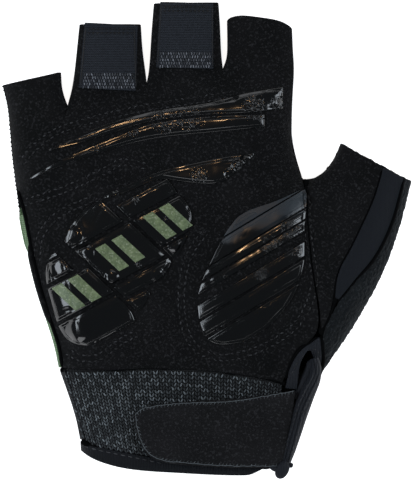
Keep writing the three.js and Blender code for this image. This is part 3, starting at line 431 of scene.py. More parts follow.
# The palm side of the thumb, a smaller panel of the same suede. It is cut separately and sewn to
# the palm round the ball of the thumb, so that the thumb can swing.
thumb_palm = subdivided(bare_form("thumb_palm"), "thumb_leather", suede, palm_levels)
sag(thumb_palm)
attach(thumb_palm, "root")
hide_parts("thumb_palm")


# The grips, blocks of glossy black rubber printed on the suede. Each has a lowered border, and
# its skin is crinkled where the hand bends it.
ray_height = 0.1


def tree_of(*pieces):
    """Search tree over the faces of pieces, to find their height at a place."""
    points = []
    faces = []
    for piece in pieces:
        start = len(points)
        points.extend(v.co.copy() for v in piece.data.vertices)
        faces.extend([start + i for i in face.vertices] for face in piece.data.polygons)
    return BVHTree.FromPolygons(points, faces)


def height_on(tree, x, y, otherwise=None):
    """Height of what is uppermost at a place."""
    hit = tree.ray_cast(Vector((x, y, ray_height)), Vector((0, 0, -1)))[0]
    return hit.z if hit else otherwise


palm_before = tree_of(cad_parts["palm_panel"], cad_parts["thumb_palm"])
palm_after = tree_of(palm, thumb_palm)
block_gap = 0.35 * mm


def seat(piece, before, after, thickness, sink, tops):
    """Moves a block of a thickness from the ground that it was drawn on to the ground as it is now."""
    places = points_of(piece)
    for place, top in zip(places, np.broadcast_to(tops, len(places))):
        x, y, z = place
        old = height_on(before, x, y, z - block_gap)
        new = height_on(after, x, y, old)
        share = min(max((z - old - block_gap) / thickness, 0), 1)
        place[2] = new - sink + share * (top + sink)
    put_points(piece, places)


grip_thickness = 1.0 * mm
grip_sink = 0.15 * mm
grip_border = {"low": 0.55 * mm, "high": 0.8 * mm, "width": 1.6 * mm}
flat_high = 0.62 * mm
flat_grips = ("thumb_grip_1", "thumb_grip_2", "thumb_grip_5", "thumb_grip_6", "thumb_grip_7")
bent_ends = [{"at": (278, 105), "reach": 10}, {"at": (243, 167), "reach": 22}]
bent_from = 0.75
bent_width = 2.4 * mm
bent_low = 0.05 * mm
upright_length = 1e-6


def rim_lines(form):
    """Outline of a laid block in the plan, as pieces of line."""
    pairs = [(e.verts[0].co.xy, e.verts[1].co.xy) for e in sharp_edges(form)]
    return [np.array([a, b]) for a, b in pairs if (a - b).length > upright_length]


def add_number(piece, name, values):
    """Stores a number at each corner of a mesh, for its material to read."""
    layer = piece.data.attributes.new(name, "FLOAT", "POINT")
    layer.data.foreach_set("value", np.asarray(values, np.float32))


def lay_grip(piece, rim, high):
    """Seats a block on the suede, with its border lower than its middle."""
    places = points_of(piece)
    edge_far = np.full(len(places), np.inf)
    for line in rim:
        edge_far = np.minimum(edge_far, distance_to(places[:, :2], line))
    add_number(piece, "edge_far", edge_far / mm)
    crown = grip_border["low"] + (high - grip_border["low"]) * ease(edge_far / grip_border["width"])
    for row in bent_ends:
        far = np.linalg.norm(places[:, :2] - seen(*row["at"]), axis=1) / (row["reach"] * pixel[0])
        near = 1 - ease(far, bent_from)
        bent = bent_low + (high - bent_low) * ease(edge_far / bent_width)
        crown = crown * (1 - near) + bent * near
    seat(piece, palm_before, palm_after, grip_thickness, grip_sink, crown)


crinkle_spots = [
    {"at": (254, 108), "reach": 16, "deep": 1.0}, {"at": (164, 122), "reach": 16, "deep": 0.9},
    {"at": (190, 119), "reach": 18, "deep": 0.8}, {"at": (134, 133), "reach": 8, "deep": 0.7},
    {"at": (98, 149), "reach": 6, "deep": 0.6}, {"at": (199, 176), "reach": 11, "deep": 0.8},
    {"at": (277, 104), "reach": 9, "deep": 0.8}, {"at": (243, 167), "reach": 14, "deep": 0.6},
    {"at": (290, 230), "reach": 13, "deep": 1.0}, {"at": (272, 246), "reach": 14, "deep": 1.0},
    {"at": (226, 278), "reach": 5, "deep": 0.7}, {"at": (260, 273), "reach": 10, "deep": 0.9},
    {"at": (296, 251), "reach": 7, "deep": 0.8}, {"at": (138, 264), "reach": 5, "deep": 1.0},
    {"at": (136, 200), "reach": 6, "deep": 0.9}, {"at": (166, 218), "reach": 5, "deep": 0.7},
]
# Spots where the rubber is rougher and its colour turns bluish grey, which is a painted sheen.
dull_and_painted_sheen_spots = [
    {"at": (262, 205), "reach": 30}, {"at": (290, 196), "reach": 24}, {"at": (240, 215), "reach": 20},
    {"at": (228, 229), "reach": 17},
]
lit_humps = [
    {"at": (71, 236), "reach": 12}, {"at": (87, 253), "reach": 9}, {"at": (61, 266), "reach": 13},
    {"at": (78, 329), "reach": 13}, {"at": (113, 197), "reach": 8}, {"at": (112, 277), "reach": 8},
    {"at": (158, 275), "reach": 8}, {"at": (174, 244), "reach": 8},
    {"at": (246, 160), "reach": 7, "deep": 1.2}, {"at": (238, 167), "reach": 8, "deep": 1.2},
    {"at": (230, 174), "reach": 7, "deep": 1.2},
]
lit_steps = [
    {"at": (73, 331), "reach": 27}, {"at": (83, 254), "reach": 20},
]
step_half = 1.6 * mm
relief = {"border": 0.12, "hump": 0.5, "step": 0.55, "crease": 0.1, "fine_crease": 0.05, "wave": 0.1,
          "pore": 0.004}
border_line = {"from": 0.95, "to": 1.2}
crease_half = 0.06
spot_core = 0.15
step_core = 0.6
# Tints of black rubber, of the painted bluish sheen in the dull spots, and of dust.
gloss_tints = {"black": (0.0022, 0.0024, 0.0026), "dull_and_painted_sheen": (0.004, 0.0105, 0.017),
               "dust": (0.014, 0.015, 0.017)}


def spots_of(across, along, spots):
    """1 at the middle of each spot of the photograph, falling to 0 at its reach."""
    whole = 0.0
    for spot in spots:
        x, y = seen(*spot["at"])
        reach = spot["reach"] * pixel[0]
        dx = (across - float(x)) / reach
        dy = (along - float(y)) / reach
        near = 1 - (dx * dx + dy * dy).step(spot_core, 1.0)
        whole = near * spot.get("deep", 1.0) + whole
    return whole


def steps_of(across, along, steps):
    """Steps in height that face the light on the left, from 0 down to -1."""
    turn = math.radians(lights[0]["turn"])
    whole = across * 0.0
    for row in steps:
        x, y = seen(*row["at"])
        reach = row["reach"] * pixel[0]
        dx = across - float(x)
        dy = along - float(y)
        down = (dx * math.cos(turn) + dy * math.sin(turn)).step(-step_half, step_half)
        near = 1 - ((dx * dx + dy * dy) / (reach * reach)).step(step_core, 1.0)
        whole = whole - down * near
    return whole


def crease_lines(grain):
    """Thin lines where soft noise passes its middle."""
    return 1 - (grain - 0.5).size().step(0.0, crease_half)


def gloss_look(wire):
    """Glossy rubber: plain border, crinkles, humps and steps that catch the light, dust, painted bluish
    sheen.
    """
    across, along, _ = wire.node("TexCoord", out="Object").axes()
    dull_and_painted_sheen = spots_of(across, along, dull_and_painted_sheen_spots).at_most(1.0)
    creases = crease_lines(wire.grain(2.4, 2)) * relief["crease"]
    fine_creases = crease_lines(wire.grain(1.2, 1)) * relief["fine_crease"]
    crinkles = (creases + fine_creases) * spots_of(across, along, crinkle_spots)
    edge = wire.node("Attribute", {"attribute_name": "edge_far"}, out="Fac")
    border = edge.step(border_line["from"], border_line["to"])
    dust = wire.grain(0.3, 2).step(0.66, 0.8)
    height = (border * relief["border"] + crinkles + spots_of(across, along, lit_humps) * relief["hump"]
              + steps_of(across, along, lit_steps) * relief["step"]
              + wire.grain(5, 1) * relief["wave"] + wire.grain(0.6, 2) * relief["pore"])
    # Painted sheen: the colour turns bluish grey in the dull spots.
    colour = dull_and_painted_sheen.blend(gloss_tints["black"], gloss_tints["dull_and_painted_sheen"])
    return {
        "Base Color": (dust * 0.3).blend(colour, gloss_tints["dust"]),
        "Roughness": 0.1 + dull_and_painted_sheen * 0.34 + dust * 0.2 + wire.grain(9, 2) * 0.05,
        "Normal": wire.bump(1.0, height),
    }


gloss = paint("grip_gloss", (0.003, 0.003, 0.0035), {"IOR": 1.5}, gloss_look)
grip_levels = 3
grips = {}
for name in sorted(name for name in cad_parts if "_grip_" in name):
    form = bare_form(name)
    rim = rim_lines(form)
    grip = subdivided(form, name + "_rubber", gloss, grip_levels, crease=1.0)
    lay_grip(grip, rim, flat_high if name in flat_grips else grip_border["high"])
    grips[name] = grip
    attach(grip, "root")
    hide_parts(name)


# The marks, plain slanted bars of olive ink. They are printed on three of the heel's blocks, and
# the ink is a little worn, so that paler specks show in it.
heel_names = [name for name in grips if name.startswith("heel")]
heel_before = tree_of(*[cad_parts[name] for name in heel_names])
heel_after = tree_of(*[grips[name] for name in heel_names])
ink_thickness = 0.6 * mm
ink_height = 0.16 * mm
ink_tints = {"dark": (0.068, 0.1, 0.046), "light": (0.12, 0.162, 0.078), "speck": (0.27, 0.3, 0.22)}


def ink_look(wire):
    """Satin ink in uneven patches, with pale worn specks."""
    worn = wire.grain(1.2, 3)
    speck = wire.grain(0.6, 2)
    patches = (wire.grain(4, 2) * 0.5 + worn * 0.5).step(0.38, 0.62)
    colour = patches.blend(ink_tints["dark"], ink_tints["light"])
    return {
        "Base Color": (speck.step(0.56, 0.72) * 0.7).blend(colour, ink_tints["speck"]),
        "Roughness": 0.35 + worn * 0.3,
        "Normal": wire.bump(0.25, worn * 0.5 + speck * 0.4),
    }


ink = paint("olive_ink", (0.1, 0.13, 0.08), {"Specular IOR Level": 0.5}, ink_look)
for name in sorted(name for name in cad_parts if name.startswith("mark_")):
    mark = subdivided(bare_form(name), name + "_ink", ink, crease=1.0)
    seat(mark, heel_before, heel_after, ink_thickness, ink_height, ink_height)
    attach(mark, "root")
    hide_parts(name)


# The quilting stitches, short twisted black threads. They run in double rows round the gel pads
# and hold them in place between the suede and its lining.
quilt_stitch = {"spacing": quilt_spacing, "length": 1.25 * mm, "thickness": 0.5 * mm, "lift": 0.02 * mm,
                "shades": (0.02, 0.6), "lean": (-0.5, 0.5)}


def thread_look(dark, light):
    """Twisted yarn whose stitches differ in shade, as the light catches each another way."""
    def look(wire):
        twist = wire.grain(0.35, 1)
        shade = wire.node("Attribute", {"attribute_name": "shade"}, out="Fac")
        return {
            "Base Color": (shade * (0.6 + twist * 0.8)).blend(dark, light),
            "Normal": wire.bump(0.1, twist),
        }
    return look


yarn = {"Roughness": 0.6, "Specular IOR Level": 0.25}
thread = paint("black_thread", (0.01, 0.01, 0.012), yarn,
               thread_look(dark=(0.003, 0.0032, 0.004), light=(0.05, 0.052, 0.058)))
draw = random.Random(7)

ball_form = bmesh.new()
bmesh.ops.create_uvsphere(ball_form, u_segments=7, v_segments=4, radius=0.5)
ball_piece = piece_of(ball_form, "stitch_ball")
ball = ball_piece.data
bpy.data.objects.remove(ball_piece)
ball_places = np.array([v.co for v in ball.vertices])
ball.attributes.new("shade", "FLOAT", "POINT")


def add_stitch(form, at, way, length, thickness, shade, flat=0.75):
    """One stitch, a stretched ball lying along way at a point."""
    axis = np.array(way.normalized())
    side = np.cross((0, 0, 1), axis)
    side /= np.linalg.norm(side)
    turned = np.array([axis * length, side * thickness, np.cross(axis, side) * thickness * flat])
    places = np.array(at) + ball_places[:, [2, 0, 1]] @ turned
    ball.vertices.foreach_set("co", places.astype(np.float32).ravel())
    ball.attributes["shade"].data.foreach_set("value", [shade] * len(ball_places))
    form.from_mesh(ball)


def stitch_row(form, line, tree, spacing, length, thickness, lift, shades, lean=(0.0, 0.0), start=0.0):
    """Stitches along a line in the plan, half sunk in what lies under them, leaning off its way."""
    run = np.concatenate([[0], np.cumsum(np.linalg.norm(np.diff(line, axis=0), axis=1))])
    for station in np.arange(start + spacing / 2, run[-1], spacing):
        ends = []
        for shift in (-length / 2, length / 2):
            x, y = (np.interp(station + shift, run, line[:, k]) for k in (0, 1))
            z = height_on(tree, x, y)
            ends.append(None if z is None else Vector((x, y, z + lift)))
        if all(ends):
            way = ends[1] - ends[0]
            way.rotate(Matrix.Rotation(draw.uniform(*lean), 3, "Z"))
            add_stitch(form, (ends[0] + ends[1]) / 2, way, length, thickness, draw.uniform(*shades))


form = bmesh.new()
for k, line in enumerate(quilt_pairs):
    stitch_row(form, line, palm_after, **quilt_stitch, start=(k % 2) * quilt_spacing / 2)
quilting = piece_of(form, "quilting_stitches", thread)
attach(quilting, "root")


# The pull tabs, dark slate tape with a fine woven rib and dark selvedges, folded in at the finger
# openings and sewn down with a row of stitches at the top and a block of pale bar stitches at the foot.
tab_thickness = 1.1 * mm
tab_height = 0.85 * mm
tab_rows = {
    "pull_tab_ring": {"left": (84.5, 79), "right": (135, 137), "ends": (24, 90), "foot": (73, 88.8),
                      "seam": 31},
    "pull_tab_middle": {"left": (160, 156), "right": (213, 213.5), "ends": (3, 68), "foot": (52, 68),
                        "seam": 9},
}
bars = {"rows": 5, "inset": 2.4, "shift": 0.4 * mm}
bar_stitch = {"spacing": 0.9 * mm, "length": 1.15 * mm, "thickness": 0.5 * mm, "lift": 0.08 * mm,
              "shades": (0.0, 0.75), "lean": (1.2, 2.0)}
top_seam = {"inset": 3, "shift": 2}
top_stitch = {"spacing": 1.5 * mm, "length": 1.0 * mm, "thickness": 0.75 * mm, "lift": 0.04 * mm,
              "shades": (0.0, 0.02), "lean": (-0.6, 0.6)}
selvedge = {"thickness": 0.42 * mm, "sink": 0.084 * mm, "reach": 0.2 * mm, "inset": 1.2, "short": 2,
            "shade": 0.1}
weave_tints = {"dark": (0.0028, 0.0036, 0.005), "light": (0.0225, 0.0268, 0.035),
               "speck": (0.028, 0.032, 0.04)}


def weave_look(wire):
    """Ribbed weave of bent threads with pale specks of lint."""
    across, along, _ = wire.node("TexCoord", out="Object").axes()
    bent = wire.grain(6, 1) * 0.3 * mm
    wefts = (along + bent).wave(0.85)
    warps = (across + bent).wave(0.7)
    cloth = wefts * 0.3 + warps * wefts * 0.55 + wire.grain(0.8, 2) * 0.8 - 0.4
    speck = wire.grain(0.45, 2)
    colour = (cloth * 0.5 + 0.5).step(0.1, 0.9).blend(weave_tints["dark"], weave_tints["light"])
    return {
        "Base Color": (speck.step(0.56, 0.72) * 0.5).blend(colour, weave_tints["speck"]),
        "Roughness": 0.65 + speck * 0.2,
        "Normal": wire.bump(0.22, cloth * 0.5 + speck * 0.3),
    }


pale_thread = paint("pale_thread", (0.05, 0.055, 0.065), yarn,
                    thread_look(dark=(0.006, 0.007, 0.009), light=(0.19, 0.205, 0.235)))
weave = paint("slate_weave", (0.007, 0.008, 0.01), {"Specular IOR Level": 0.12}, weave_look)
taper = {"points": 4, "least": 0.05}
cord_weld = 0.001 * mm


def cord_of(name, lines, thickness, finish, shade=0.3):
    """Round cords along lines of places, as one mesh, thinner towards their ends."""
    data = bpy.data.curves.new(name, "CURVE")
    data.dimensions = "3D"
    data.bevel_depth = thickness / 2
    data.bevel_resolution = 1
    data.use_fill_caps = True
    for line in lines:
        spline = data.splines.new("POLY")
        spline.points.add(len(line) - 1)
        for k, (point, place) in enumerate(zip(spline.points, line)):
            from_end = min(k, len(line) - 1 - k)
            point.co = (*place, 1)
            point.radius = max(taper["least"], min(1, from_end / taper["points"]) ** 0.5)
    holder = bpy.data.objects.new(name, data)
    scene.collection.objects.link(holder)
    mesh = bpy.data.meshes.new_from_object(holder.evaluated_get(bpy.context.evaluated_depsgraph_get()))
    bpy.data.objects.remove(holder)
    form = bmesh.new()
    form.from_mesh(mesh)
    bpy.data.meshes.remove(mesh)
    bmesh.ops.remove_doubles(form, verts=form.verts, dist=cord_weld)
    bmesh.ops.recalc_face_normals(form, faces=form.faces)
    piece = piece_of(form, name, finish)
    add_number(piece, "shade", [shade] * len(piece.data.vertices))
    return piece


def higher_side(tree, x, y, way, reach):
    """The greatest height at a place and at its two sides."""
    return max(height_on(tree, x - side * reach * way[1], y + side * reach * way[0], 0)
               for side in (-1, 0, 1))


smoothed_points = 5


def laid_line(line, tree, lift, reach=0.9 * mm, least=4 * mm):
    """Places along a line in the plan, over the higher of what lies at its two sides."""
    way = np.gradient(line, axis=0)
    way /= np.linalg.norm(way, axis=1)[:, None]
    places = [(x, y, higher_side(tree, x, y, turn, reach) + lift) for (x, y), turn in zip(line, way)]
    places = [place for place in places if place[2] > least]
    level = np.pad(np.array([place[2] for place in places]), smoothed_points // 2, mode="edge")
    smooth = np.convolve(level, np.full(smoothed_points, 1 / smoothed_points), mode="valid")
    return [(x, y, z) for (x, y, _), z in zip(places, smooth)]


def across_tab(row, y, inset):
    """Line across a tab at a row of the photograph, with its ends inset from the edges."""
    top, bottom = row["ends"]
    share = (y - top) / (bottom - top)
    left, right = (row[side][0] + (row[side][1] - row[side][0]) * share for side in ("left", "right"))
    return smooth_line([(left + inset, y), (right - inset, y)])


for name, row in tab_rows.items():
    tab = subdivided(bare_form(name), name + "_tape", weave, crease=1.0)
    seat(tab, palm_before, palm_after, tab_thickness, grip_sink, tab_height)
    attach(tab, "root")
    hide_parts(name)

    tab_top = tree_of(tab)
    form = bmesh.new()
    for k in range(bars["rows"]):
        y = row["foot"][0] + (row["foot"][1] - row["foot"][0]) * (k + 0.5) / bars["rows"]
        stitch_row(form, across_tab(row, y, bars["inset"]), tab_top, **bar_stitch,
                   start=(k % 2) * bars["shift"])
    foot = piece_of(form, name + "_stitches", pale_thread)
    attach(foot, "root")

    form = bmesh.new()
    for shift in (-top_seam["shift"], top_seam["shift"]):
        stitch_row(form, across_tab(row, row["seam"] + shift, top_seam["inset"]), tab_top, **top_stitch)
    seam = piece_of(form, name + "_seam", thread)
    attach(seam, "root")

    top, bottom = row["ends"]
    edges = []
    for side, inset in (("left", selvedge["inset"]), ("right", -selvedge["inset"])):
        line = smooth_line([(row[side][0] + inset, top + selvedge["short"]),
                            (row[side][1] + inset, bottom - selvedge["short"])])
        edges.append(laid_line(line, tab_top, -selvedge["sink"], selvedge["reach"]))
    selvedges = cord_of(name + "_selvedges", edges, selvedge["thickness"], thread, selvedge["shade"])
    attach(selvedges, "root")


# The back of the hand, a green knit that shows round the little finger side, and the black stretch
# panel over the backs of the fingers. Both are sewn to the palm's edge.
def knit_look(dark, light, size):
    """Fine knit: columns of small loops."""
    def look(wire):
        across, along, _ = wire.node("TexCoord", out="Object").axes()
        columns = across.wave(size)
        loops = (along + columns.size() * (0.23 * size * mm)).wave(size * 0.8)
        cloth = columns * 0.4 + loops * 0.6
        speck = wire.grain(0.5, 2)
        return {
            "Base Color": (cloth * 0.35 + speck * 0.9).step(0.1, 0.9).blend(dark, light),
            "Roughness": 0.75 + speck * 0.15,
            "Normal": wire.bump(0.2, cloth * 0.6 + speck * 0.3),
        }
    return look


green_knit = paint("green_knit", (0.12, 0.17, 0.1), {"Specular IOR Level": 0.2},
                   knit_look(dark=(0.055, 0.1, 0.045), light=(0.14, 0.21, 0.12), size=0.9))
lining_knit = paint("dark_knit_inside", (0.004, 0.005, 0.005), {"Specular IOR Level": 0.1},
                    knit_look(dark=(0.002, 0.0022, 0.0025), light=(0.007, 0.008, 0.008), size=0.9))
back = subdivided(bare_form("back_hand"), "back_of_hand_knit", green_knit)
sag(back)
back.data.materials.append(lining_knit)
inner_height = 6 * mm
inner_tilt = 0.1
for face in back.data.polygons:
    if face.normal.z > inner_tilt and face.center.z < inner_height:
        face.material_index = 1
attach(back, "root")
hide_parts("back_hand")

stretch_knit = paint("black_stretch", (0.005, 0.006, 0.007), {"Specular IOR Level": 0.15},
                     knit_look(dark=(0.003, 0.0034, 0.0042), light=(0.009, 0.0102, 0.0125), size=0.5))
finger_backs = subdivided(bare_form("back_fingers"), "finger_backs_stretch", stretch_knit, levels=2)
round_index(finger_backs)
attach(finger_backs, "root")
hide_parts("back_fingers")


# The strips between the fingers, narrow slate knit. Each is sewn in between the palm and the backs
# and gives the finger openings their depth.
slate_knit = paint("slate_knit", (0.007, 0.008, 0.01), {"Specular IOR Level": 0.15},
                   knit_look(dark=(0.0045, 0.0052, 0.0064), light=(0.014, 0.016, 0.019), size=0.6))
for name in sorted(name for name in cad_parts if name.startswith("side_strip_")):
    strip = subdivided(bare_form(name), name + "_knit", slate_knit, levels=2)
    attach(strip, "root")
    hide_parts(name)


# The back of the thumb, a soft fuzzy terry that runs on down to the wrist, and beside it a smooth
# stretch strip. Both are sewn to the suede at the seams of the thumb.
terry_loops = [{"size": 1.5 * mm, "rise": 0.34 * mm}, {"size": 0.7 * mm, "rise": 0.16 * mm}]
terry_levels = 4
terry_tints = {"dark": (0.0046, 0.006, 0.007), "light": (0.0075, 0.0094, 0.0108),
               "loop": (0.024, 0.028, 0.032)}


def terry_look(wire):
    """Fuzzy loops that are paler at their tips, in soft patches."""
    loops = wire.grain(0.9, 3)
    fuzz = wire.grain(0.35, 2)
    colour = wire.grain(11, 2).step(0.3, 0.7).blend(terry_tints["dark"], terry_tints["light"])
    tips = (loops * 0.6 + fuzz * 0.4).step(0.5, 0.68)
    return {
        "Base Color": (tips * 0.75).blend(colour, terry_tints["loop"]),
        "Roughness": 0.9 + fuzz * 0.1,
        "Normal": wire.bump(0.5, loops * 0.9 + fuzz * 0.35),
    }


def normals_of(piece):
    """Direction in which the surface faces at each of a piece's points."""
    normals = np.empty(len(piece.data.vertices) * 3, np.float32)
    piece.data.vertices.foreach_get("normal", normals)
    return normals.reshape(-1, 3)


def roughened(piece, rows):
    """Lifts a piece's surface in small lumps."""
    places = points_of(piece)
    normals = normals_of(piece)
    for row in rows:
        rise = np.array([noise.noise(Vector(place) / row["size"]) for place in places])
        places += row["rise"] * rise[:, None] * normals
    put_points(piece, places)


terry = paint("thumb_terry", (0.006, 0.007, 0.008), {"Specular IOR Level": 0.08, "Sheen Weight": 0.03},
              terry_look)
thumb_back = subdivided(bare_form("thumb_back"), "thumb_back_terry", terry, terry_levels)
sag(thumb_back)
roughened(thumb_back, terry_loops)
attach(thumb_back, "root")
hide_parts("thumb_back")

strip_knit = paint("thumb_strip_knit", (0.006, 0.007, 0.009), {"Specular IOR Level": 0.15},
                   knit_look(dark=(0.0066, 0.0084, 0.0116), light=(0.0123, 0.0152, 0.0205), size=0.45))
thumb_strip = subdivided(bare_form("thumb_strip"), "thumb_strip_stretch", strip_knit)
sag(thumb_strip)
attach(thumb_strip, "root")
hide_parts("thumb_strip")


# The cuff, a heather grey rib knit over the wrist with a plain stretch back. Each loop is two legs
# of mixed grey yarn that lean together over a black ground.
wales = 37
courses = 23
leg = {"length": 1.5 * mm, "thickness": 0.6 * mm, "apart": 0.48 * mm, "lift": 0.06 * mm,
       "lean": math.radians(26)}
leg_shade = {"least": 0.08, "spread": 0.62, "rarity": 2.6, "darker_at_thumb": 0.35}
heather_base = paint("heather_ground", (0.004, 0.004, 0.0045),
                     {"Roughness": 0.95, "Specular IOR Level": 0.1},
                     knit_look(dark=(0.003, 0.0035, 0.004), light=(0.012, 0.013, 0.014), size=1.0))
heather_yarn = paint("heather_yarn", (0.03, 0.034, 0.036),
                     {"Roughness": 0.8, "Specular IOR Level": 0.15},
                     thread_look(dark=(0.006, 0.007, 0.0078), light=(0.205, 0.235, 0.255)))
cuff = subdivided(bare_form("cuff_knit"), "cuff_ground_knit", heather_base)
sag(cuff)
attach(cuff, "root")
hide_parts("cuff_knit")

cuff_back = subdivided(bare_form("cuff_back"), "cuff_back_stretch", stretch_knit, levels=2)
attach(cuff_back, "root")
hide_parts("cuff_back")

cuff_tree = tree_of(cuff, cuff_back)
cuff_top = smooth_line([(63, 371), (100, 371.5), (150, 370), (200, 371.5), (240, 376), (282, 384.5)])
cuff_foot = smooth_line([(84, 443), (100, 446.5), (140, 454), (190, 461.5), (230, 464.5), (273, 466)])
form = bmesh.new()
for wale in range(wales):
    share = (wale + 0.5) / wales
    top, foot = (np.array([np.interp(share, np.linspace(0, 1, len(line)), line[:, k]) for k in (0, 1)])
                 for line in (cuff_top, cuff_foot))
    down = (foot - top) / np.linalg.norm(foot - top)
    for course in range(courses):
        x, y = top + (foot - top) * (course + 0.5) / courses
        for side in (-1, 1):
            at = Vector((x - side * leg["apart"] * down[1], y + side * leg["apart"] * down[0]))
            z = height_on(cuff_tree, at.x, at.y)
            if z is None:
                continue
            way = Vector((*down, 0))
            way.rotate(Matrix.Rotation(-side * leg["lean"], 3, "Z"))
            shade = leg_shade["least"] + leg_shade["spread"] * draw.random() ** leg_shade["rarity"]
            shade *= 1 - leg_shade["darker_at_thumb"] * share
            place = Vector((at.x, at.y, z + leg["lift"]))
            add_stitch(form, place, way, leg["length"], leg["thickness"], shade)
loops = piece_of(form, "cuff_knit_loops", heather_yarn)
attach(loops, "root")


# The binding round the wrist and the slit, ribbed navy tape. It is folded over the raw edges of
# the panels and sewn through with one row of stitches.
binding_end = {"from": (246, 454), "to": (272, 472), "higher": 8 * pixel[1]}
binding_seam = smooth_line([(83, 445.5), (100, 450), (140, 458), (165, 463.5)])
binding_stitch = {"spacing": 2.6 * mm, "length": 1.7 * mm, "thickness": 0.4 * mm, "lift": 0.02 * mm,
                  "shades": (0.3, 1.2)}
slit_end = {"from": 368, "to": 381, "left_of": 302, "longer": 8 * pixel[1]}
slit_seam = smooth_line([(291, 374), (297, 362), (304, 354), (311, 349), (317, 350), (320, 358)])
slit_stitch = {"spacing": 1.7 * mm, "length": 1.1 * mm, "thickness": 0.34 * mm, "lift": 0.02 * mm,
               "shades": (0.1, 0.5)}


def tape_look(dark, light):
    """Ribbed tape."""
    def look(wire):
        across, _, _ = wire.node("TexCoord", out="Object").axes()
        ribs = (across + wire.grain(6, 1) * 0.26 * mm).wave(0.55)
        speck = wire.grain(0.4, 2)
        return {
            "Base Color": (ribs * 0.25 + speck).step(0.2, 0.9).blend(dark, light),
            "Roughness": 0.62 + speck * 0.2,
            "Normal": wire.bump(0.15, ribs * 0.4 + speck * 0.5),
        }
    return look


dark_navy = paint("binding_tape", (0.004, 0.005, 0.007), {"Specular IOR Level": 0.15},
                  tape_look(dark=(0.0017, 0.0024, 0.0036), light=(0.0058, 0.0074, 0.0104)))
navy = paint("navy_tape", (0.006, 0.0075, 0.011), {"Specular IOR Level": 0.2},
             tape_look(dark=(0.003, 0.0039, 0.0062), light=(0.0098, 0.0125, 0.0185)))
binding = subdivided(bare_form("cuff_binding"), "wrist_binding_tape", dark_navy, crease=0.5)
places = points_of(binding)
column, row = column_and_row(places)
across = ease(column, binding_end["from"][0], binding_end["to"][0])
along = ease(row, binding_end["from"][1], binding_end["to"][1])
places[:, 1] += binding_end["higher"] * across * along
put_points(binding, places)
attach(binding, "root")
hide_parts("cuff_binding")

slit = subdivided(bare_form("slit_binding"), "slit_binding_tape", navy, crease=0.4)
places = points_of(slit)
column, row = column_and_row(places)
left = places[:, 0] < seen(slit_end["left_of"], 0)[0]
places[:, 1] -= left * slit_end["longer"] * ease(row, slit_end["from"], slit_end["to"])
put_points(slit, places)
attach(slit, "root")
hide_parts("slit_binding")

form = bmesh.new()
stitch_row(form, binding_seam, tree_of(binding), **binding_stitch)
stitch_row(form, slit_seam, tree_of(slit), **slit_stitch)
binding_stitches = piece_of(form, "binding_stitches", thread)
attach(binding_stitches, "root")


# The strap, black suede closed across the cuff. Its edge is overlocked with grey yarn, which runs
# along the edge and crosses it in small slanted ticks.
strap_suede = paint("strap_suede", (0.006, 0.0062, 0.007), {"Specular IOR Level": 0.1},
                    suede_look(dark=(0.005, 0.0052, 0.0058), light=(0.0085, 0.0085, 0.0095),
                               fleck=(0.026, 0.0265, 0.029)))
strap = subdivided(bare_form("strap"), "closing_strap", strap_suede)
strap_end = {"from": 262, "to": 288, "longer": 7 * pixel[0]}
places = points_of(strap)
column, row = column_and_row(places)
places[:, 0] += strap_end["longer"] * ease(column, strap_end["from"], strap_end["to"])
put_points(strap, places)
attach(strap, "root")
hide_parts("strap")

strap_edge = [(297, 388.5), (270, 393.5), (230, 399.5), (180, 401.5), (148, 405.5), (136.5, 411),
              (134.5, 418), (139.5, 439), (148, 453), (160, 459.5), (182, 462.5), (230, 466),
              (279, 466)]
edge_inset = 0.35 * mm
strap_line = beside(smooth_line(strap_edge, 0.3 * mm), edge_inset)
strap_top = tree_of(strap)
edge_wander = {"far": 0.22 * mm, "across": 2.2 * mm, "along": 1.7 * mm}
wandered = np.array([
    (x + edge_wander["far"] * noise.noise(Vector((x, y, 0)) / edge_wander["across"]),
     y + edge_wander["far"] * noise.noise(Vector((y, x, 0)) / edge_wander["along"]))
    for x, y in strap_line])
edge_yarn = {"thickness": 0.26 * mm, "lift": 0.02 * mm, "reach": 0.3 * mm, "shade": 0.32}
edge_line = laid_line(wandered, strap_top, edge_yarn["lift"], edge_yarn["reach"])
overlock = cord_of("strap_overlock_thread", [edge_line], edge_yarn["thickness"], heather_yarn,
                   edge_yarn["shade"])
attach(overlock, "root")

tick_stitch = {"spacing": 1.25 * mm, "length": 1.2 * mm, "thickness": 0.24 * mm, "lift": 0.02 * mm,
               "shades": (0.05, 0.45), "lean": (0.8, 1.5)}
form = bmesh.new()
stitch_row(form, beside(strap_line, edge_inset), strap_top, **tick_stitch)
overlock_ticks = piece_of(form, "strap_overlock_stitches", heather_yarn)
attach(overlock_ticks, "root")


# The lining under the wrist's slit, a patch of black stretch knit. It is sewn in behind the slit,
# so that the wrist opens without a gap.
lining_outline = [(268, 352), (300, 338), (320, 346), (321, 362), (308, 394), (299, 428), (290, 456),
                  (262, 452)]
lining_height = 4.2 * mm
lining_depth = 0.8 * mm
form = bmesh.new()
corners = [form.verts.new((*seen(*place), lining_height)) for place in reversed(lining_outline)]
sheet = form.faces.new(corners)
raised = bmesh.ops.extrude_face_region(form, geom=[sheet])["geom"]
upper = [v for v in raised if isinstance(v, bmesh.types.BMVert)]
bmesh.ops.translate(form, verts=upper, vec=(0, 0, lining_depth))
bmesh.ops.recalc_face_normals(form, faces=form.faces)
lining = piece_of(form, "slit_lining", lining_knit)
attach(lining, "root")


